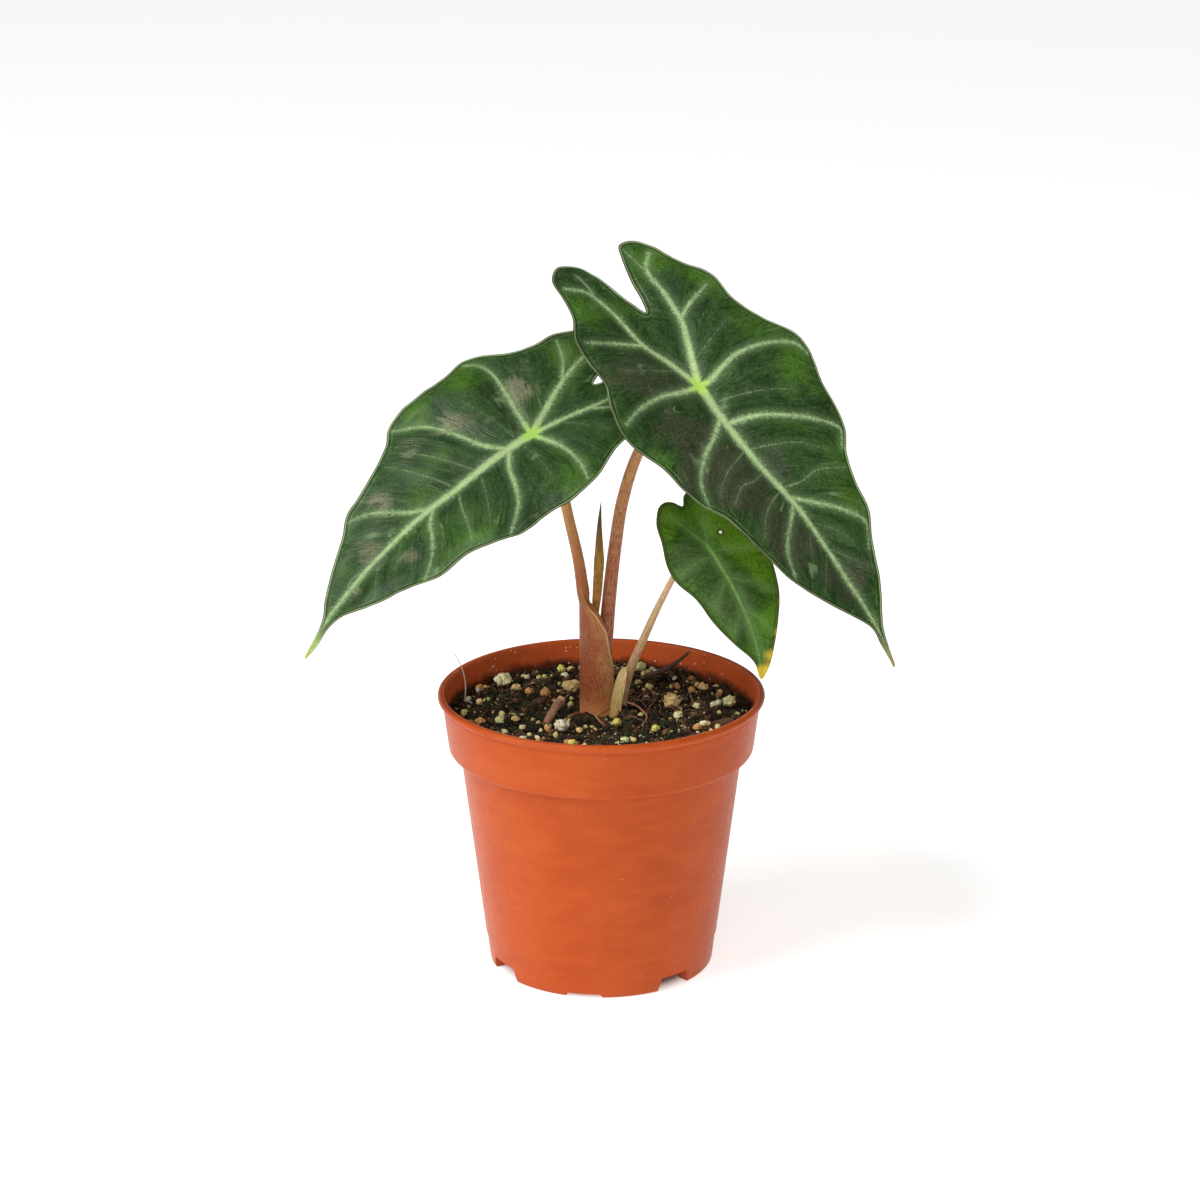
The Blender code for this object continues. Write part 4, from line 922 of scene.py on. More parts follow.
SMALL_PATCHES = (
    (2, -9, 7, -0.9), (24, 0, 8, -0.7), (22, -5, 6, -0.5), (14, 6, 5, -0.3), (-10, 6, 8, 0.8),
    (2, 12, 8, 0.9), (14, 14, 7, 0.8), (30, 9, 6, 0.7), (-15, -8, 4, 0.6), (-8, -11, 4, 0.5),
)

# Yellowed spots on the small leaf's rim: (u, v, radius, amount)
SMALL_STAINS = (
    (46, 0.5, 3.2, 0.9), (41, 5.5, 2.6, 0.6), (35, 10.5, 2.2, 0.5), (26, 15.5, 2.0, 0.5),
    (13, 18.5, 1.8, 0.4),
)

LEAF_STEP = 0.58  # spacing of the points inside a blade
RIM_STEPS = (0.22, 0.5, 0.85, 1.25)  # how far in from the margin the rows of points run


def blade_frame(junction, tip_way, face_way):
    along = np.array(tip_way, float)
    along /= np.linalg.norm(along)
    normal = np.array(face_way, float)
    normal -= along * (normal @ along)
    normal /= np.linalg.norm(normal)
    return np.array(junction, float), along, np.cross(normal, along), normal


def leaf_of(route, tip_way, face_way, margin, veins, **shape):
    """A leaf's values. Its junction stands just above the end of its petiole's route."""
    end = np.array(raised(route)[-1])
    frame = blade_frame(end, tip_way, face_way)
    junction = end + frame[3] * (BLADE_THICKNESS + 0.8)
    lines = [(*vein[:4], catmull(vein[4], 8 * len(vein[4]))) for vein in veins]
    widest = max(abs(v) for _, v in margin)
    shape.update(
        frame=(junction, *frame[1:]), margin=margin, veins=lines, length=margin[0][0], half_width=widest
    )
    return shape


def blade_plane(leaf):
    """(points, triangles, margin count): an even triangle mesh of the leaf's outline, margin first."""
    margin = evenly(catmull(leaf["margin"], 14 * len(leaf["margin"]), closed=True), 0.5)
    count = len(margin)
    ways = ways_round(margin)
    inward = np.column_stack([-ways[:, 1], ways[:, 0]])
    loop = np.vstack([margin, margin[:1]])
    rows = [margin]
    for away in RIM_STEPS:
        row = margin + inward * away
        distance, _ = near_line(row, loop)
        rows.append(row[(distance > 0.93 * away) & inside(row, margin)])
    low, high = margin.min(0), margin.max(0)
    us = np.arange(low[0], high[0], LEAF_STEP)
    grid = []
    for number, v in enumerate(np.arange(low[1], high[1], LEAF_STEP * 0.866)):
        shift = LEAF_STEP / 2 if number % 2 else 0.0
        grid.append(np.column_stack([us + shift, np.full(len(us), v)]))
    grid = np.vstack(grid)
    grid = grid[inside(grid, margin)]
    distance, _ = near_line(grid, loop)
    rows.append(grid[distance > RIM_STEPS[-1] + 0.35])
    points = np.vstack(rows)
    edges = [(i, (i + 1) % count) for i in range(count)]
    made = delaunay_2d_cdt([Vector(p) for p in points.tolist()], edges, [], 1, 1e-7, False)
    points = np.array([tuple(p) for p in made[0]])
    triangles = np.array([face for face in made[2] if len(face) == 3])
    triangles = triangles[inside(points[triangles].mean(1), points[:count])]
    a, b, c = (points[triangles[:, k]] for k in range(3))
    area = (b[:, 0] - a[:, 0]) * (c[:, 1] - a[:, 1]) - (b[:, 1] - a[:, 1]) * (c[:, 0] - a[:, 0])
    triangles = np.where((area < 0)[:, None], triangles[:, ::-1], triangles)
    return points, triangles[np.abs(area) > 1e-9], count


def vein_values(points, leaf):
    """Values that the leaf's material and relief read, from the distances to the veins."""
    gap = np.full(len(points), 99.0)
    run = np.zeros(len(points))
    power = np.zeros(len(points))
    major = np.full(len(points), 99.0)
    ridge = np.zeros(len(points))
    flow_top = np.zeros(len(points))
    flow_sum = np.full(len(points), 1e-9)
    reach = None
    for number, (start, end, strength, place, line) in enumerate(leaf["veins"]):
        distance, share = near_line(points, line)
        width = start + (end - start) * share**0.8
        closer = distance - width < gap
        length = np.linalg.norm(np.diff(line, axis=0), axis=1).sum()
        gap = np.where(closer, distance - width, gap)
        run = np.where(closer, share * length - 0.7 * distance + 31 * number, run)
        power = np.where(closer, strength * (1 - 0.25 * share), power)
        if strength > 0.6:
            major = np.minimum(major, distance)
        ridge = np.maximum(ridge, strength * np.clip(1 - (distance / (width * 1.5)) ** 2, 0, 1))
        if place is None:
            reach = distance
            continue
        same_side = np.sign(line[-1, 1] - 0.001) * np.sign(points[:, 1] + 0.001) > 0
        weight = same_side / (distance**2 + 1.0) ** 1.5
        flow_top += weight * place
        flow_sum += weight
    tip = np.linalg.norm(points - np.array((leaf["length"] - 2, 0)), axis=1)
    weight = 1 / (tip**2 + 1.0) ** 1.5
    flow = (flow_top + weight * leaf["length"]) / (flow_sum + weight)
    flow = np.where(points[:, 1] < 0, -flow - 200, flow)
    return {
        "vein_gap": gap,
        "vein_run": run,
        "vein_power": power,
        "flow": flow * 1.4,
        "reach": reach,
        "patch": hills(points, leaf["patches"]) + 0.25 * fractal(points, 16, 3, 5),
        "glow": 1 - smooth_step(0.8, 6.5, np.linalg.norm(points, axis=1)),
    }, major, ridge


def blade_height(points, leaf, rim, major, ridge, flow):
    """How far the upper side stands above the leaf's flat plane: the CAD's form with its relief."""
    u, v = points[:, 0], points[:, 1]
    length = leaf["length"]
    crease = np.interp(u, leaf["veins"][0][4][:, 0], leaf["veins"][0][4][:, 1])
    crease *= smooth_step(-5, 5, u)
    height = 4 * leaf["arch"] * (u / length) * (1 - u / length)
    height += leaf["fold"] * (np.sqrt((v - crease) ** 2 + 2.5) - 1.6) - leaf["curl"] * v * v
    swing = np.minimum(1.2, (v / leaf["half_width"]) ** 2)
    for side, (size, wave, phase) in zip((v > 0, v <= 0), leaf["waves"]):
        height += side * size * swing * np.sin(2 * math.pi * u / wave + phase)
    quilt = 1 - np.exp(-((major / leaf["quilt_reach"]) ** 2))
    height += leaf["quilt"] * quilt * smooth_step(0, 6, rim)
    height += leaf["ridge"] * ridge
    ripples = noise(np.column_stack([flow, np.abs(v) * 0.22]), 2.6, 11)
    height += leaf["ripple"] * ripples * smooth_step(0.5, 4.0, major) * smooth_step(0.4, 5, rim)
    height += 0.35 * fractal(points, 9.0, 2, 3) * smooth_step(0, 4, rim)
    flutter = fractal(points, 6.0, 2, 8) * (1 - smooth_step(0, 6, rim))
    return height + leaf["flutter"] * flutter + 0.14 * (1 - smooth_step(0.2, 0.75, rim))


def make_blade(name, leaf, material, node):
    points, triangles, count = blade_plane(leaf)
    margin = points[:count]
    rim, _ = near_line(points, np.vstack([margin, margin[:1]]))
    values, major, ridge = vein_values(points, leaf)
    height = blade_height(points, leaf, rim, major, ridge, values["flow"])
    junction, along, across, normal = leaf["frame"]
    base = junction + np.outer(points[:, 0], along) + np.outer(points[:, 1], across)
    top = base + np.outer(height, normal)
    thickness = 0.26 + 0.18 * smooth_step(0, 3, rim) + leaf["keel"] * ridge**0.7
    below = base + np.outer(height - thickness, normal)
    edge = (top[:count] + below[:count]) / 2
    ways = ways_round(margin)
    outward = np.outer(ways[:, 1], along) - np.outer(ways[:, 0], across)
    edge = edge + 0.13 * outward
    total = len(points)
    faces = triangles.tolist()
    faces += (triangles[:, ::-1] + total).tolist()
    for i in range(count):
        j = (i + 1) % count
        faces.append((i, 2 * total + i, 2 * total + j, j))
        faces.append((2 * total + i, total + i, total + j, 2 * total + j))
    u, v = points[:, 0], points[:, 1]
    values["rim_gap"] = rim
    values["tip"] = smooth_step(leaf["tip_from"], leaf["length"], u)
    values["under"] = np.zeros(total)
    if "stains" in leaf:
        values["stain"] = hills(points, leaf["stains"])
        values["hole"] = np.hypot(u - leaf["hole"][0], v - leaf["hole"][1])
    doubled = {}
    for key, value in values.items():
        below_value = np.ones(total) if key == "under" else value
        doubled[key] = np.concatenate([value, below_value, value[:count]])
    return new_piece(name, np.vstack([top, below, edge]), faces, material, (node,), doubled)


# The plant's stalks: (x, y, height above the soil's top), as in the CAD source

RIGHT_ROUTE = (
    (-0.2, 1.0, -3.5), (0.3, 1.0, 8.0), (1.0, 1.2, 18.0), (1.8, 2.2, 30.0), (3.0, 4.0, 43.5),
    (4.5, 6.0, 56.5), (7.2, 7.6, 73.0), (12.1, 8.0, 88.5), (20.0, 4.6, 103.0), (31.2, -3.4, 113.8),
)
RIGHT_RADII = (2.5, 2.5, 2.47, 2.42, 2.32, 2.2, 2.1, 1.85, 1.7, 1.55)

LEFT_ROUTE = (
    (-6.0, 1.6, 42.0), (-7.6, 3.4, 53.0), (-10.6, 5.6, 66.0), (-13.2, 7.0, 77.0),
    (-17.2, 6.4, 88.0), (-22.5, 3.4, 95.6),
)
LEFT_RADII = (2.1, 1.89, 1.76, 1.76, 1.68, 1.55)

SMALL_ROUTE = (
    (6.5, -3.0, -3.5), (6.9, -3.0, 5.0), (8.9, -3.2, 14.5), (14.4, -5.0, 29.0),
    (20.3, -7.8, 43.5), (26.8, -10.6, 56.0), (34.6, -13.0, 62.7),
)
SMALL_RADII = (2.0, 1.85, 1.62, 1.33, 1.1, 1.0, 0.95)

SPIKE_ROUTE = (
    (-2.95, 1.0, 9.0), (-2.5, 0.6, 24.0), (-2.0, 0.0, 35.0), (-1.3, -0.4, 44.0),
    (-0.75, -0.4, 54.0), (-0.6, -0.1, 66.0), (-0.1, 0.6, 74.3),
)
SPIKE_RADII = (0.68, 0.83, 1.13, 1.58, 1.72, 0.75, 0.06)

# The dry sheath stub on the small stalk: where it stands off, the side it is on in degrees, and its
# rows as (height above the soil, degrees to each side, share of the offset)
STUB_OFFSET = (-0.9, -1.3)
STUB_SIDE = 226
STUB_INNER_RADIUS = 2.5
STUB_ROWS = (
    (-3.5, 58, 1.0), (4.0, 56, 1.0), (10.0, 50, 0.8), (14.0, 44, 0.62),
    (16.6, 33, 0.6), (18.2, 20, 0.6), (18.8, 8, 0.6),
)

# The wrapping sheath: height above the soil, front wing and back wing in degrees round from its back
WINGS = (
    (-3.5, 205, 125), (8.0, 203, 123), (13.0, 190, 118), (17.0, 168, 110), (22.0, 143, 98),
    (26.0, 134, 90), (30.0, 125, 80), (33.5, 104, 66), (36.5, 86, 50), (38.5, 66, 36),
)


def raised(route):
    return [(x, y, SOIL_TOP + z) for x, y, z in route]


def stalk(name, route, radii, material, node, sides=36, count=150, flat=1.0, ribs=0.05, flare=0.0):
    """A round stalk along a smooth route, faintly ribbed, that may flare where it meets its blade."""
    path = catmull(raised(route), count)
    widths = stretched(radii, count)
    share = np.linspace(0, 1, count)
    widths = widths * (1 + flare * smooth_step(0.965, 1.0, share))
    turns = turns_of(sides)
    around = [np.tile(np.cos(turns) * 4, count), np.tile(np.sin(turns) * 4, count)]
    grid = np.column_stack([*around, np.repeat(share * 12, sides)])
    rings = swollen(tube_rings(path, widths, turns, flat), 1 + ribs * noise(grid, 1.3, 21))
    points, faces = skin(rings)
    values = ring_attributes(rings, float(np.mean(widths)))
    return new_piece(name, points, faces, material, (node,), values)


def sheath_rings(half):
    """Rings of the left petiole's wrapping sheath, each a crescent of 2 * half points."""
    rings = []
    for height, front, back in WINGS:
        angles = np.radians(np.linspace(180 + front, 180 - back, half))
        lean = 0.004 * max(0.0, height)
        share = np.linspace(-1, 1, half)
        # The wings' edges are thin and stand off a little at the front.
        thin = 0.35 * smooth_step(0.7, 1.0, np.abs(share))
        outer_radius = COLUMN_RADIUS - thin * 0.5
        outer = level_ring(outer_radius, angles, SOIL_TOP + height, SHAFT[0] - lean, SHAFT[1])
        inner_radius = CAVITY_RADIUS + thin * 0.6
        inner = level_ring(
            inner_radius, angles, SOIL_TOP + height, CAVITY_CENTRE[0] - lean, CAVITY_CENTRE[1]
        )
        rings.append(np.vstack([outer, inner[::-1]]))
    return rings


def make_left_stalk(material):
    """The left petiole: a sheath that wraps the other stalks low down and closes into a round stalk."""
    half = 30
    count = 14
    path = catmull(raised(LEFT_ROUTE), count)
    turns = np.radians(np.concatenate([np.linspace(262, 98, half), np.linspace(82, -82, half)]))
    rings = np.vstack([sheath_rings(half), tube_rings(path, stretched(LEFT_RADII, count), turns)])
    flat = catmull(rings.reshape(len(rings), -1), 8 * len(rings))
    rings = flat.reshape(len(flat), 2 * half, 3)
    points, faces = skin(rings)
    faces = [face[::-1] for face in faces]
    values = ring_attributes(rings, 3.2)
    # The way round runs from the front wing's free edge, on the right, to the back wing's.
    around = np.concatenate([np.linspace(0, 16, half), np.linspace(30, 20, half)])
    rows = len(rings)
    closing = 1 - smooth_step(36, 46, rings[:, :, 2].mean(1) - SOIL_TOP)
    values["wing"] = np.concatenate([np.repeat(closing, 2 * half), [0, 0]])
    values["around"] = np.concatenate([np.tile(around, rows), [0, 0]])
    nodes = ("petiole_left",)
    return new_piece("stalk_left", points, faces, material, nodes, values, sharp=60)


def make_stub_sheath(material):
    """The pale dry sheath stub that hugs the small stalk's front left side, with a rounded top."""
    route = np.array(SMALL_ROUTE)
    half = 14
    rings = []
    for height, spread, away in STUB_ROWS:
        x = np.interp(height, route[:, 2], route[:, 0]) + STUB_OFFSET[0] * away
        y = np.interp(height, route[:, 2], route[:, 1]) + STUB_OFFSET[1] * away
        angles = np.radians(np.linspace(STUB_SIDE - spread, STUB_SIDE + spread, half))
        rib = 0.07 * np.cos(np.linspace(0, 12 * math.pi, half))
        outer = level_ring(STUB_INNER_RADIUS + 0.62 + rib, angles, SOIL_TOP + height, x, y)
        inner = level_ring(STUB_INNER_RADIUS, angles[::-1], SOIL_TOP + height, x, y)
        rings.append(np.vstack([outer, inner]))
    rings = np.array(rings)
    flat = catmull(rings.reshape(len(rings), -1), 40)
    rings = flat.reshape(40, 2 * half, 3)
    points, faces = skin(rings)
    values = ring_attributes(rings, 1.6)
    nodes = ("small_sheath",)
    return new_piece("stub_sheath", points, faces, material, nodes, values, sharp=60)


# Soil and what lies on it


def soil_radius(z):
    """The pot's inner radius at a height, less a small gap."""
    return float(np.interp(z, (SKIRT_HEIGHT, 76.3, 77.8, 94.9), (38.1, 46.5, 50.1, 52.6))) - 0.3


def cad_soil(points):
    """The lumpy height of the CAD's soil at each (x, y)."""
    x, y = points[:, 0], points[:, 1]
    share = np.hypot(x, y) / soil_radius(SOIL_TOP)
    lumps = np.sin(0.55 * x + 0.8) * np.cos(0.47 * y - 0.4) + 0.6 * np.sin(0.83 * y + 0.31 * x + 2.0)
    return SOIL_TOP + 0.6 + 0.7 * lumps * (1 - 0.5 * share) - 0.5 * share**2


# Hollows and mounds in the mix: (x, y, radius, height)
SOIL_SHAPES = (
    (27.0, 25.0, 8.0, -4.2), (16.0, 27.0, 6.0, -2.4), (36.0, 16.0, 5.0, -1.6), (-20.0, 22.0, 9.0, 0.9),
    (-37.0, 4.0, 8.0, 0.8), (-8.0, -34.0, 9.0, 0.6), (24.0, -30.0, 9.0, 0.7), (38.0, -6.0, 6.0, 0.7),
    (-1.0, -1.0, 9.0, 0.5), (-28.0, -8.0, 6.0, -1.0), (10.0, -20.0, 6.0, -0.9), (8.0, -6.5, 4.2, 3.4),
)


def soil_height(points):
    """The surface of the mix: the CAD's height with hollows, mounds and crumbs."""
    points = np.asarray(points, float).reshape(-1, 2)
    height = cad_soil(points) - 0.1 + hills(points, SOIL_SHAPES)
    height += 0.9 * fractal(points, 5.0, 4, 31)
    pits = np.abs(noise(points, 2.6, 37))
    return height + 1.3 * (pits - 0.4)


def make_soil(material):
    sides, rows = 420, 120
    edge = soil_radius(SOIL_TOP - 1)
    turns = turns_of(sides)
    rings = []
    for share in np.linspace(0.01, 1, rows) ** 0.72:
        spot = np.column_stack([edge * share * np.cos(turns), edge * share * np.sin(turns)])
        rings.append(np.column_stack([spot, soil_height(spot)]))
    for z, inset in ((82.0, 0), (77.8, 0), (76.3, 0), (SKIRT_HEIGHT, 0), (FLOOR_TOP + 0.3, 1.9)):
        radius = soil_radius(z) - inset
        rings.append(level_ring(radius, turns, z))
    points, faces = skin(rings)
    faces = [face[::-1] for face in faces]
    return new_piece("potting_mix", points, faces, material, ("soil",))


def ball(levels):
    """(points, faces) of a unit icosphere."""
    shell = bmesh.new()
    bmesh.ops.create_icosphere(shell, subdivisions=levels, radius=1.0)
    points = np.array([v.co[:] for v in shell.verts])
    faces = np.array([[v.index for v in f.verts] for f in shell.faces])
    shell.free()
    return points, faces


def turned_about(points, angles):
    """Points turned about X, Y and Z by three angles."""
    for axis, angle in enumerate(angles):
        c, s = math.cos(angle), math.sin(angle)
        a, b = (axis + 1) % 3, (axis + 2) % 3
        points = points.copy()
        first, second = points[:, a].copy(), points[:, b].copy()
        points[:, a] = c * first - s * second
        points[:, b] = s * first + c * second
    return points


# The grains, perlite_01 on: (half width, half height, tone). Their places are the CAD nodes'.
GRAINS = (
    (3.3, 2.6, 0), (1.8, 1.5, 1), (1.7, 1.4, 2), (2.0, 1.7, 2), (1.7, 1.5, 3), (3.4, 2.2, 1),
    (2.7, 2.4, 4), (1.8, 1.6, 3), (1.2, 1.0, 1), (1.3, 1.0, 0), (1.6, 1.2, 1), (2.0, 1.3, 5),
    (1.9, 1.4, 2), (1.5, 1.3, 1), (1.6, 1.2, 3), (1.7, 1.1, 5), (2.1, 1.8, 5), (3.2, 2.7, 1),
    (1.9, 1.5, 0), (1.5, 1.3, 0), (2.5, 2.1, 5), (1.8, 1.5, 1), (1.7, 1.3, 3), (1.6, 1.2, 2),
)
GRAIN_TONES = (
    (1.0, 0.88, 0.50), (1.0, 0.68, 0.30), (0.86, 0.44, 0.16), (0.98, 0.82, 0.20),
    (1.0, 0.86, 0.62), (0.90, 0.92, 0.42),
)


def corners_of(node):
    """A CAD node's lowest and highest corners in millimetres."""
    return [np.array(corner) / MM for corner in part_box(node)]


def make_grain(number, grain, material):
    """A knobbly expanded grain: a cluster of rounded lobes with creases between them."""
    half_width, half_height, tone = grain
    node = f"perlite_{number:02d}"
    middle = sum(corners_of(node)) / 2
    points, faces = ball(5 if half_width > 2.4 else 4)
    lobes = np.abs(noise(points * 1.7 + number * 13.1, 1.0, 41))
    shape = 0.80 + 0.34 * lobes + 0.10 * fractal(points, 0.42, 3, number)
    points = points * shape[:, None] * (half_width, half_width * 0.88, half_height)
    points = turned_about(points, (0, 0, number * 1.7))
    middle[2] -= 0.35 + 0.12 * half_height
    tint = np.minimum(1, np.array(GRAIN_TONES[tone]) * (0.86 + 0.45 * lobes)[:, None])
    # Each grain's tint darkens towards its bottom, down to a quarter at its lowest part
    darkening = smooth_step(0.05, -0.75, points[:, 2] / half_height)
    tint = tint * (1 - 0.75 * darkening)[:, None]
    name = f"grain_{number:02d}"
    return new_piece(name, points + middle, faces.tolist(), material, (node,), {"tint": tint})


# How far from the axis loose bits and strands reach, and how far they keep off the stalks
BIT_REACH = 50.3
STRAND_START = 48
STRAND_REACH = 50.5
CROWN_CLEAR = 7.0
SMALL_CLEAR = 4.6


def free_spots(count, seed, size, crown=7.4):
    """Random (x, y) spots for bits of a size on the soil, clear of the wall and the stalks."""
    draw = random.Random(seed)
    spots = []
    while len(spots) < count:
        x, y = draw.uniform(-BIT_REACH, BIT_REACH), draw.uniform(-BIT_REACH, BIT_REACH)
        if math.hypot(x, y) > BIT_REACH - size:
            continue
        if math.hypot(x - SHAFT[0], y - SHAFT[1]) < crown:
            continue
        if math.hypot(x - SMALL_FOOT[0], y - SMALL_FOOT[1]) < SMALL_CLEAR:
            continue
        spots.append((x, y))
    return np.array(spots), draw


def scatter(name, material, tones, count, seed, sizes, sink, levels=2, flat=0.7):
    """Many loose bits in one mesh, each with its own size, turn and tint, sunk by sink of its size."""
    unit, faces = ball(levels)
    spots, draw = free_spots(count, seed, sizes[1])
    heights = soil_height(spots)
    all_points, all_faces, tints = [], [], []
    for number, ((x, y), z) in enumerate(zip(spots, heights)):
        size = sizes[0] + (sizes[1] - sizes[0]) * draw.random() ** 2.2
        shape = 0.8 + 0.35 * np.abs(noise(unit * 1.6 + number * 7.3, 1.0, seed))
        shape += 0.12 * noise(unit, 0.4, seed + number)
        scale = np.array((size, size * draw.uniform(0.6, 1.0), size * draw.uniform(flat * 0.7, flat)))
        angles = [draw.uniform(-0.5, 0.5), draw.uniform(-0.5, 0.5), draw.uniform(0, 6.3)]
        bit = turned_about(unit * shape[:, None] * scale, angles)
        all_points.append(bit + (x, y, z + size * (0.3 - sink)))
        all_faces.append(faces + number * len(unit))
        tone = np.array(draw.choice(tones)) * draw.uniform(0.75, 1.15)
        tints.append(np.tile(tone, (len(unit), 1)))
    points, faces = np.vstack(all_points), np.vstack(all_faces).tolist()
    return new_piece(name, points, faces, material, (), {"tint": np.vstack(tints)})


def strands(
    name, material, tones, count, seed, lengths, radii, lift=0.25, curl=1.0, centres=None
):
    """Many thin curling fibres in one mesh, lying on the soil."""
    spots, draw = free_spots(count, seed, 5.0, crown=8.5)
    if centres:
        spots = []
        for _ in range(count):
            x, y, spread = draw.choice(centres)
            spots.append((draw.gauss(x, spread), draw.gauss(y, spread)))
        spots = np.array(spots)
    all_points, all_faces, tints, total = [], [], [], 0
    steps, sides = 9, 5
    for x, y in spots:
        if math.hypot(x, y) > STRAND_START:
            continue
        heading = draw.uniform(0, 2 * math.pi)
        length = draw.uniform(*lengths)
        turn = draw.uniform(-1.4, 1.4) * curl
        path = [(x, y)]
        for _ in range(steps - 1):
            heading += turn / steps + draw.uniform(-0.35, 0.35) * curl
            x, y = path[-1]
            path.append((x + length / steps * math.cos(heading), y + length / steps * math.sin(heading)))
        path = np.array(path)
        away = np.hypot(path[:, 0] - SHAFT[0], path[:, 1] - SHAFT[1])
        if np.hypot(path[:, 0], path[:, 1]).max() > STRAND_REACH or away.min() < CROWN_CLEAR:
            continue
        hump = draw.uniform(0.2, 1.6) * lift * 4 * np.sin(np.linspace(0, math.pi, steps))
        path = np.column_stack([path, soil_height(path) + lift + hump])
        radius = draw.uniform(*radii)
        rings = tube_rings(path, radius * np.linspace(1, 0.5, steps), turns_of(sides))
        points, faces = skin(rings)
        all_points.append(points)
        all_faces += [tuple(i + total for i in face) for face in faces]
        total += len(points)
        tone = np.array(draw.choice(tones)) * draw.uniform(0.7, 1.2)
        tints.append(np.tile(tone, (len(points), 1)))
    points, values = np.vstack(all_points), {"tint": np.vstack(tints)}
    return new_piece(name, points, all_faces, material, (), values)


# The bark chips: (length, width, thickness, turn in degrees)
CHIPS = ((7.0, 3.6, 1.3, 35), (8.0, 4.0, 1.4, -20), (7.5, 3.4, 1.2, 10), (6.5, 3.4, 1.3, 60))


def make_chip(number, material):
    """A split flake of bark in the CAD chip's box, with torn edges and long grain."""
    node = f"bark_chip_{number}"
    middle = sum(corners_of(node)) / 2
    length, width, thickness, turn = CHIPS[number - 1]
    points, faces = ball(5)
    box = np.sign(points) * np.abs(points) ** 0.45
    box = box / np.abs(box).max(0)
    grain = noise(np.column_stack([box[:, 0] * 0.8, box[:, 1] * 5, box[:, 2] * 5]), 1.0, number + 60)
    torn = 1 + 0.16 * noise(box[:, 1:2] * np.array([[4.0, 1.0, 0.0]]), 1.0, number + 70)
    box = box * (length / 2, width / 2 * 0.9, thickness / 2)
    box[:, 0] *= torn
    box[:, 1] *= 1 + 0.12 * grain
    box[:, 2] += 0.22 * grain + 0.3 * np.sin(box[:, 0] / length * 3)
    along, around = box[:, 0].copy(), box[:, 1] + 2 * box[:, 2]
    box = turned_about(box, (0.12, 0.06, math.radians(turn)))
    middle[2] -= 0.25
    tint = np.tile((0.16, 0.085, 0.05), (len(box), 1)) * (1 + 0.4 * grain)[:, None]
    values = {"tint": tint, "along": along, "around": around}
    return new_piece(f"chip_{number}", box + middle, faces.tolist(), material, (node,), values)


def woody(name, node, path, radii, tones, material, knobs=0.12, sides=20, seed=0):
    """A twig along a path: bark tone along its side and another tone on its cut end."""
    count = 60
    path = catmull(path, count)
    widths = stretched(radii, count)
    rings = tube_rings(path, widths, turns_of(sides))
    rings = swollen(rings, 1 + knobs * fractal(rings.reshape(-1, 3), 1.4, 3, seed))
    points, faces = skin(rings)
    values = ring_attributes(rings, float(np.mean(widths)) * 2)
    tint = np.tile(tones[0], (len(points), 1)).astype(float)
    end = smooth_step(0.86, 0.97, values["rise"])[:, None]
    values["tint"] = tint * (1 - end) + np.array(tones[1]) * end
    return new_piece(name, points, faces, material, (node,), values, sharp=50)


def on_soil(plan, lift):
    """(x, y, z) points above the soil from (x, y, extra height) points."""
    plan = np.array(plan, float)
    return np.column_stack([plan[:, :2], soil_height(plan[:, :2]) + lift + plan[:, 2]])


# Thin reddish roots that loop over the soil round the crown: (name, radius, points), where a point
# is (x, y, extra height)
ROOTS = (
    (
        "surface_root_left", 0.42,
        (
            (-6.9, -3.4, 0.6), (-8.6, -6.2, 1.4), (-10.6, -8.6, 1.2),
            (-10.4, -12.0, 0.3), (-8.2, -14.6, -0.3),
        ),
    ),
    (
        "surface_root_front", 0.42,
        (
            (-2.6, -6.6, 1.0), (-1.6, -8.9, 1.6), (0.4, -11.4, 1.0),
            (1.2, -13.6, 0.2), (0.4, -15.4, -0.4),
        ),
    ),
    (
        "surface_root_right", 0.38,
        (
            (8.6, -5.9, 1.8), (11.6, -5.4, 2.4), (14.4, -6.4, 1.8),
            (15.2, -9.6, 0.8), (13.8, -13.6, -0.4),
        ),
    ),
)


# Where shreds of root and tufts of moss gather on the soil: (x, y, spread)
SHRED_SPOTS = ((17.0, 9.0, 5.0), (12.0, -4.0, 4.0), (26.0, 4.0, 5.0))
MOSS_SPOTS = (
    (-27.0, 9.0, 6.0), (-18.0, -9.0, 5.0), (-30.0, -14.0, 5.0), (12.0, -32.0, 6.0),
    (24.0, -14.0, 6.0), (35.0, 10.0, 4.0),
)


# The stage


CAMERA_PLACE = (-0.00044, -1.1095, 0.48935)
CAMERA_PITCH = 0.3151  # radians below level
FOCAL = 105.0  # on a 36 mm sensor

# The lights: (name, place, width, power), all aimed at the plant's middle
LIGHTS = (
    ("side", (-1.30, -0.62, 1.10), 0.9, 17),
    ("top", (-0.50, -0.58, 1.60), 0.5, 10),
    ("front", (-0.10, -1.40, 1.00), 0.9, 5),
)
LIGHT_TARGET = (0, 0, 0.12)
FLOOR_REACH = 6.0
FLOOR_GLOW = 0.73
WALL_TOP = (0.13, 0.22)  # the sine of the rise where the white wall fades into the ceiling
WALL_GLOW = 0.90
CEILING_GLOW = 0.15


def make_camera():
    data = bpy.data.cameras.new("view")
    data.lens = FOCAL
    data.sensor_width = 36.0
    data.clip_start, data.clip_end = 0.05, 50
    camera = bpy.data.objects.new("view", data)
    camera.location = CAMERA_PLACE
    camera.rotation_euler = (math.pi / 2 - CAMERA_PITCH, 0, 0)
    bpy.context.scene.collection.objects.link(camera)
    bpy.context.scene.camera = camera


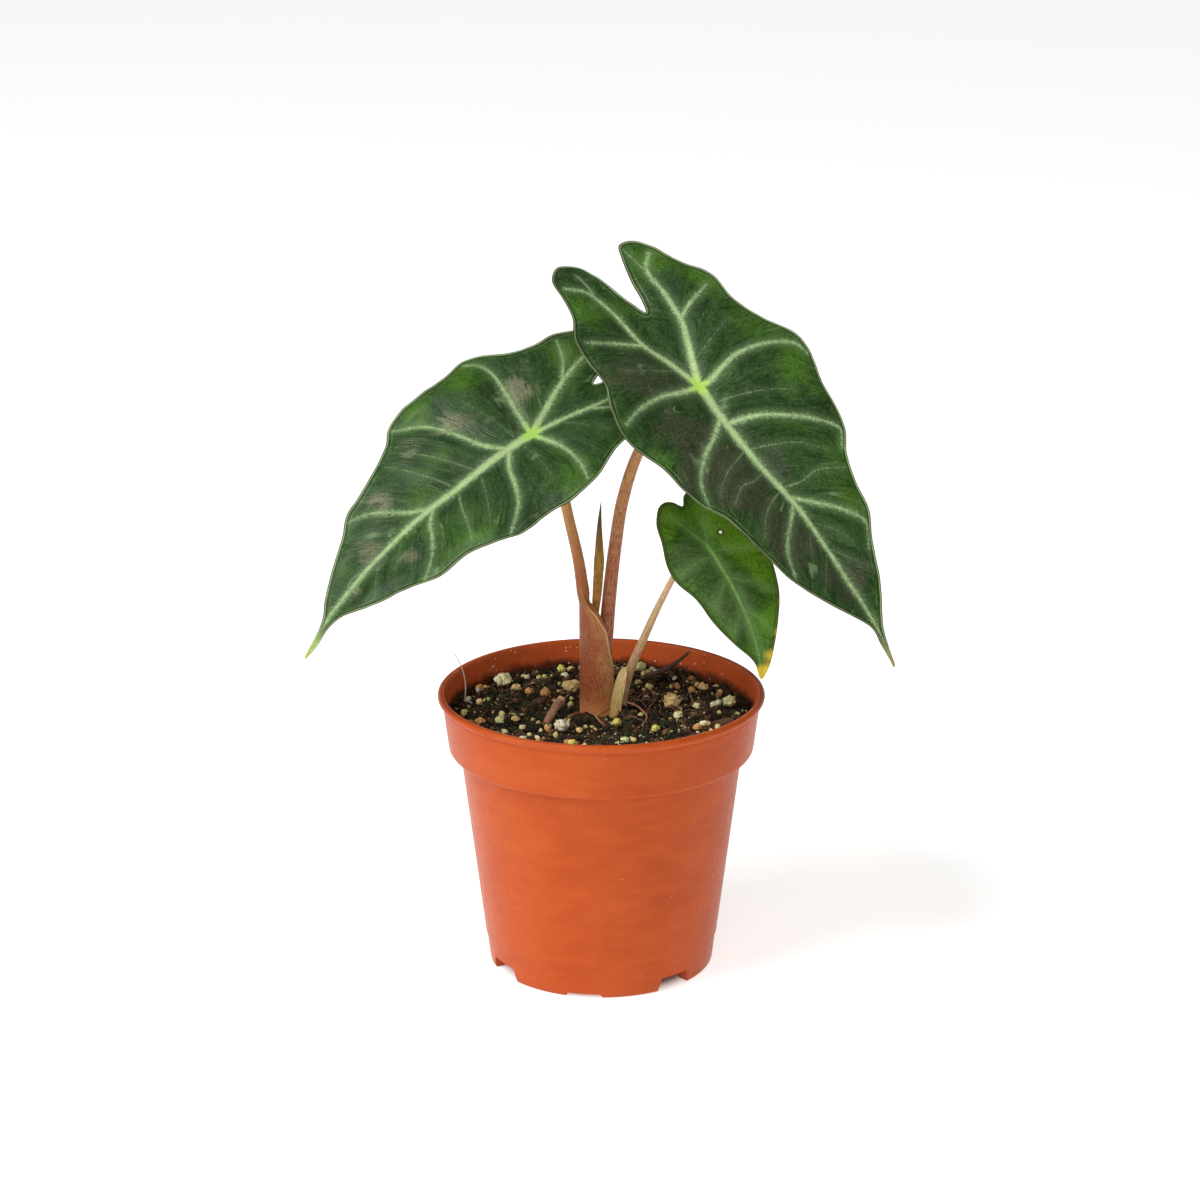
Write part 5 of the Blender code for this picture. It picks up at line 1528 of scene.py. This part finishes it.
def area_light(name, place, size, power):
    data = bpy.data.lights.new(name, "AREA")
    data.shape = "DISK"
    data.size = size
    data.energy = power
    light = bpy.data.objects.new(name, data)
    light.location = place
    aim = Vector(LIGHT_TARGET) - Vector(place)
    light.rotation_euler = aim.to_track_quat("-Z", "Y").to_euler()
    bpy.context.scene.collection.objects.link(light)


def studio_world():
    """A white wall all round, as high as the lowest views see, under a dimmer ceiling."""
    world = bpy.data.worlds.new("studio")
    world.use_nodes = True
    nodes, links = world.node_tree.nodes, world.node_tree.links
    rise = nodes.new("ShaderNodeSeparateXYZ")
    links.new(nodes.new("ShaderNodeTexCoord").outputs["Generated"], rise.inputs[0])
    wall = nodes.new("ShaderNodeMapRange")
    wall.interpolation_type = "SMOOTHSTEP"
    for socket, value in zip(list(wall.inputs)[1:5], (*WALL_TOP, WALL_GLOW, CEILING_GLOW)):
        socket.default_value = value
    links.new(rise.outputs[2], wall.inputs[0])
    nodes["Background"].inputs["Color"].default_value = (1, 1, 1, 1)
    links.new(wall.outputs[0], nodes["Background"].inputs["Strength"])
    return world


def make_stage():
    made = Shade("white_floor", 0.9, 0.1)
    made.shader.inputs["Emission Color"].default_value = (1.0, 0.99, 0.975, 1)
    # The paper glows as if lit from all round; under the pot the glow drops almost to nothing, a painted
    # shade seen through the foot's notches.
    where = made.place()
    from_axis = made.math("POWER", made.split(where, 0), 2.0)
    from_axis = made.math("SQRT", made.plus(from_axis, made.math("POWER", made.split(where, 1), 2.0)))
    made.put(made.shader.inputs["Emission Strength"], made.ramp(from_axis, 31.0, 39.0, 0.02, FLOOR_GLOW))
    tone = made.mix(made.noise(where, 300.0), (0.78, 0.78, 0.78), (0.80, 0.80, 0.80))
    mesh = bpy.data.meshes.new("floor")
    corners = [(x * FLOOR_REACH, y * FLOOR_REACH, 0) for x, y in ((-1, -1), (1, -1), (1, 1), (-1, 1))]
    mesh.from_pydata(corners, [], [(0, 1, 2, 3)])
    mesh.materials.append(made.finish(tone))
    floor = bpy.data.objects.new("floor", mesh)
    floor.location.z = -0.0001
    bpy.context.scene.collection.objects.link(floor)
    bpy.context.scene.world = studio_world()
    for name, place, size, power in LIGHTS:
        area_light(name, place, size, power)
    bpy.context.scene.view_settings.view_transform = "Standard"


# Colours, in linear light

LEAF_LOOK = {
    "gloss": 0.20, "smooth": 0.44, "feather": 1.15, "vein_share": 0.92, "haze": 0.26, "hair": 0.45,
    "rim_line": 0.4, "rim_share": 0.75, "edging": 0.5,
    "deep": (0.009, 0.031, 0.005), "green": (0.028, 0.076, 0.013), "bright": (0.060, 0.150, 0.010),
    "dusky_and_painted_sheen": (0.052, 0.050, 0.029), "edge_green": (0.045, 0.115, 0.016), "streak": (0.085, 0.135, 0.055),
    "scratch_and_glint": (0.32, 0.42, 0.24), "vein": (0.260, 0.400, 0.185), "vein_dark": (0.150, 0.260, 0.105),
    "core": (0.56, 0.72, 0.34), "heart": (0.50, 0.76, 0.14), "rim": (0.34, 0.43, 0.20),
    "rim_brown": (0.035, 0.028, 0.014), "tip": (0.26, 0.30, 0.12), "tip_end": (0.36, 0.22, 0.08),
    "back": (0.135, 0.190, 0.085), "back_dark": (0.105, 0.125, 0.070), "back_vein": (0.36, 0.44, 0.22),
}
LEFT_LOOK = dict(
    LEAF_LOOK,
    # On the left leaf the colour of the duller patches is a beige-grey painted highlight
    gloss=0.22, smooth=0.42, dusky_and_painted_sheen=(0.215, 0.205, 0.125), green=(0.025, 0.070, 0.014),
    edge_green=(0.048, 0.115, 0.020), streak=(0.080, 0.125, 0.045), vein=(0.215, 0.340, 0.150),
    core=(0.46, 0.60, 0.27), heart=(0.38, 0.62, 0.12), tip=(0.34, 0.45, 0.14),
    tip_end=(0.50, 0.46, 0.12),
)
SMALL_LOOK = dict(
    LEAF_LOOK,
    feather=0.4, vein_share=0.9, hair=0.35, rim_line=0.0, haze=0.45, rim_share=0.3, edging=0.6,
    deep=(0.019, 0.058, 0.004), green=(0.034, 0.096, 0.004), bright=(0.085, 0.195, 0.003),
    dusky_and_painted_sheen=(0.052, 0.090, 0.032), edge_green=(0.095, 0.200, 0.005), vein=(0.165, 0.310, 0.090),
    vein_dark=(0.11, 0.23, 0.05), core=(0.27, 0.50, 0.10), streak=(0.115, 0.190, 0.050),
    heart=(0.16, 0.34, 0.06), rim=(0.10, 0.14, 0.02), rim_brown=(0.05, 0.045, 0.01),
    tip=(0.60, 0.38, 0.035), tip_end=(0.46, 0.22, 0.03), stain=(0.58, 0.42, 0.03),
    back=(0.14, 0.23, 0.07), back_dark=(0.11, 0.17, 0.06),
)
STALK_LOOK = {
    "low": (0.44, 0.135, 0.060), "high": (0.82, 0.46, 0.16), "turn": (0.35, 0.95),
    "cloud": (0.46, 0.20, 0.09), "streak": (0.22, 0.052, 0.028), "pale": (0.66, 0.36, 0.19),
    "fleck": (0.66, 0.38, 0.21),
}
SHEATH_LOOK = dict(
    STALK_LOOK,
    streak=(0.27, 0.07, 0.03), low=(0.41, 0.090, 0.033), high=(1.0, 0.66, 0.23),
    turn=(0.42, 0.98), cloud=(0.52, 0.23, 0.065),
    # foot is a brighter orange, painted light over the sheath's shaded base
    pale=(0.52, 0.24, 0.11), fleck=(0.54, 0.28, 0.14), foot=(0.95, 0.41, 0.14), wing=(1.0, 0.62, 0.25),
    seam=(0.80, 0.50, 0.18),
)
SMALL_STALK_LOOK = {
    "low": (0.44, 0.19, 0.10), "high": (0.66, 0.43, 0.24), "turn": (0.12, 0.55),
    "cloud": (0.52, 0.38, 0.15), "streak": (0.34, 0.17, 0.07),
    "pale": (0.78, 0.58, 0.30), "fleck": (0.70, 0.42, 0.27),
}
STUB_LOOK = {
    "low": (0.56, 0.36, 0.12), "high": (0.90, 0.66, 0.31), "turn": (0.4, 0.9),
    "cloud": (0.56, 0.50, 0.16), "streak": (0.36, 0.22, 0.08),
    "pale": (0.85, 0.74, 0.38), "fleck": (0.64, 0.48, 0.25),
}
SPIKE_LOOK = {
    "low": (0.38, 0.15, 0.018), "high": (0.22, 0.11, 0.016), "turn": (0.3, 0.9),
    "cloud": (0.36, 0.20, 0.015), "streak": (0.16, 0.06, 0.018),
    "pale": (0.42, 0.27, 0.03), "fleck": (0.40, 0.17, 0.03),
    "dark_end": (0.07, 0.045, 0.018),
}
POT_LOOK = {
    "clay": (0.425, 0.065, 0.0095), "pale_clay": (0.475, 0.080, 0.013), "mottle": (0.41, 0.054, 0.008),
    "flow": (0.56, 0.108, 0.020), "foot": (0.36, 0.075, 0.028), "dust": (0.95, 0.62, 0.42),
    # inside and dark_inside are brighter copies of the clay colours: painted light on the shaded inner
    # wall
    "grit": (0.12, 0.035, 0.015), "inside": (0.74, 0.130, 0.032), "dark_inside": (0.62, 0.105, 0.026),
    "soil_line": (0.045, 0.022, 0.012), "specks": (0.85, 0.72, 0.52),
}
SOIL_LOOK = {
    "peat": (0.003, 0.002, 0.0015), "crumb": (0.066, 0.028, 0.011), "fibre": (0.30, 0.145, 0.055),
    "moss": (0.035, 0.060, 0.022), "rust": (0.13, 0.045, 0.018), "dust": (0.62, 0.52, 0.32),
}
PEAT = (
    (0.020, 0.011, 0.006), (0.012, 0.007, 0.004), (0.055, 0.028, 0.014), (0.12, 0.055, 0.024),
    (0.030, 0.040, 0.014), (0.26, 0.13, 0.055), (0.09, 0.045, 0.02),
)
MINERAL = (
    (1.0, 0.86, 0.42), (1.0, 0.70, 0.30), (0.80, 0.40, 0.14), (0.92, 0.86, 0.32), (1.0, 0.92, 0.68),
)
FIBRE = (
    (0.22, 0.12, 0.06), (0.10, 0.05, 0.025), (0.05, 0.028, 0.015), (0.34, 0.20, 0.11),
    (0.06, 0.05, 0.025),
)
SHRED = ((0.16, 0.07, 0.04), (0.07, 0.035, 0.022), (0.26, 0.13, 0.07))
MOSS = ((0.020, 0.034, 0.020), (0.028, 0.050, 0.018), (0.012, 0.022, 0.016), (0.05, 0.075, 0.02))
ROOT_TONES = ((0.55, 0.25, 0.12), (0.62, 0.34, 0.18))
STUB_TONES = ((0.44, 0.23, 0.14), (0.86, 0.52, 0.26))
TWIG_TONES = ((0.13, 0.072, 0.048), (0.20, 0.12, 0.08))
HAIR_TONES = ((0.66, 0.60, 0.48), (0.7, 0.66, 0.56))


def make_plant():
    right = leaf_of(
        RIGHT_ROUTE, (62.4, -43.0, -81.6), (0.42, -0.72, 0.55), RIGHT_MARGIN, RIGHT_VEINS,
        arch=5.0, fold=0.26, curl=0.0035, waves=((1.2, 41.0, 0.6), (1.2, 37.0, 2.2)),
        patches=RIGHT_PATCHES,
        quilt=0.9, quilt_reach=5.5, ridge=0.28, ripple=0.10, flutter=0.25, keel=0.75, tip_from=99.0,
    )
    left = leaf_of(
        LEFT_ROUTE, (-72.6, -48.0, -61.6), (-0.32, -0.70, 0.62), LEFT_MARGIN, LEFT_VEINS,
        arch=5.0, fold=0.26, curl=0.0035, waves=((1.2, 39.0, 1.4), (1.2, 43.0, 0.2)),
        patches=LEFT_PATCHES_AND_SHEEN,
        quilt=1.2, quilt_reach=5.5, ridge=0.28, ripple=0.14, flutter=0.25, keel=0.75, tip_from=93.0,
    )
    small = leaf_of(
        SMALL_ROUTE, (17.1, -20.0, -39.1), (0.15, -0.75, 0.60), SMALL_MARGIN, SMALL_VEINS,
        arch=3.0, fold=0.10, curl=0.004, waves=((0.5, 25.0, 0.5), (0.5, 22.0, 1.8)),
        patches=SMALL_PATCHES,
        quilt=0.5, quilt_reach=3.5, ridge=0.16, ripple=0.05, flutter=0.12, keel=0.45, tip_from=41.5,
        stains=SMALL_STAINS, hole=(-3.0, 5.8),
    )
    make_blade("blade_right", right, leaf_material("leaf_green", LEAF_LOOK), "leaf_right")
    make_blade("blade_left", left, leaf_material("leaf_green_left", LEFT_LOOK), "leaf_left")
    young_green = leaf_material("young_leaf_green", SMALL_LOOK)
    make_blade("blade_small", small, young_green, "leaf_small")

    stalk_skin = stalk_material("petiole_skin", STALK_LOOK)
    stalk("stalk_right", RIGHT_ROUTE, RIGHT_RADII, stalk_skin, "petiole_right", flare=0.35)
    make_left_stalk(stalk_material("sheath_skin", SHEATH_LOOK))
    pale_skin = stalk_material("small_petiole_skin", SMALL_STALK_LOOK)
    stalk(
        "stalk_small", SMALL_ROUTE, SMALL_RADII, pale_skin, "petiole_small",
        sides=28, flare=0.3,
    )
    make_stub_sheath(stalk_material("stub_skin", STUB_LOOK, 0.5))
    spike_skin = stalk_material("spike_skin", SPIKE_LOOK, 0.5)
    stalk(
        "leaf_spike", SPIKE_ROUTE, SPIKE_RADII, spike_skin, "new_leaf_spike",
        sides=24, flat=0.6, ribs=0.08,
    )


def make_stub_twig_and_hair(wood):
    """The cut stub, the dry twig and the hair root, each laid inside its CAD node's box."""
    low, high = corners_of("cut_stub")
    stub = [low + (1.2, 1.2, 0.2), (low + high) / 2, high - (1.2, 1.2, 1.2)]
    radii = (1.15, 1.35, 1.45, 1.3)
    woody(
        "stub_look", "cut_stub", stub, radii, STUB_TONES, wood, knobs=0.1, sides=24, seed=82
    )
    low, high = corners_of("dry_twig")
    middle = (low + high) / 2
    twig = [
        (low[0] + 0.6, low[1] + 0.8, low[2] + 0.8),
        (middle[0] - 2, middle[1] - 0.4, low[2] + 2.4),
        (middle[0] + 2, middle[1] + 0.3, low[2] + 4.4),
        (high[0] - 0.4, high[1] - 0.6, high[2] - 0.4),
    ]
    radii = (1.05, 0.85, 0.75, 0.4)
    woody(
        "twig_look", "dry_twig", twig, radii, TWIG_TONES, wood, knobs=0.2, sides=18, seed=83
    )
    low, high = corners_of("hair_root")
    hair = [
        (high[0] - 0.6, low[1] + 0.3, low[2] - 0.4),
        (high[0] - 0.3, low[1] + 0.6, low[2] + 5.0),
        (high[0] - 1.2, low[1] + 0.9, low[2] + 10.5),
        (high[0] - 3.2, low[1] + 1.4, low[2] + 15.0),
        (low[0] + 0.2, high[1] - 0.2, high[2] - 0.2),
    ]
    radii = (0.24, 0.17, 0.10)
    woody(
        "hair_look", "hair_root", hair, radii, HAIR_TONES, wood, knobs=0.05, sides=8, seed=84
    )


def make_soil_bits():
    make_soil(soil_material())
    porous = tinted_material(
        "perlite_pores", roughness=0.85, pore=0.5, depth=0.16, contrast=0.5, specular=0.12
    )
    for number, grain in enumerate(GRAINS, 1):
        make_grain(number, grain, porous)
    crumb = tinted_material(
        "peat_crumbs", roughness=0.95, pore=0.45, depth=0.2, contrast=0.6, specular=0.2
    )
    scatter("soil_crumbs", crumb, PEAT, count=1100, seed=3, sizes=(0.5, 2.5), sink=0.35)
    scatter(
        "mineral_grit", porous, MINERAL, count=560, seed=4, sizes=(0.24, 1.75), sink=0.1,
        flat=0.9,
    )
    scatter(
        "mineral_dust", porous, MINERAL, count=620, seed=5, sizes=(0.14, 0.40), sink=-0.5,
        levels=1, flat=1.0,
    )
    fibre = tinted_material("fibre_skin", roughness=0.8, pore=0.4, depth=0.06, contrast=0.4)
    strands(
        "soil_fibres", fibre, FIBRE, count=150, seed=7, lengths=(3.5, 11.0),
        radii=(0.10, 0.22),
    )
    strands(
        "root_shreds", fibre, SHRED, count=40, seed=9, lengths=(7.0, 15.0),
        radii=(0.22, 0.42), lift=0.45, curl=0.8, centres=SHRED_SPOTS,
    )
    strands(
        "moss_shreds", fibre, MOSS, count=320, seed=8, lengths=(1.6, 4.6),
        radii=(0.14, 0.30), lift=0.3, curl=1.8, centres=MOSS_SPOTS,
    )

    wood = wood_material()
    for number in range(1, len(CHIPS) + 1):
        make_chip(number, wood)
    for name, radius, plan in ROOTS:
        radii = (radius, radius * 0.9, radius * 0.5)
        path = on_soil(plan, 0.2)
        woody(
            name + "_look", name, path, radii, ROOT_TONES, wood, knobs=0.1, sides=10, seed=81
        )
    make_stub_twig_and_hair(wood)


def paint_corm(corm):
    """The buried rhizome keeps its CAD mesh and only takes a material."""
    corm.data.materials.clear()
    corm.data.materials.append(corm_material())


for startup in list(bpy.data.objects):
    bpy.data.objects.remove(startup)
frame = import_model()
make_camera()
make_stage()
make_pot(plastic_material())
make_soil_bits()
paint_corm(frame["nodes"]["rhizome"])
make_plant()
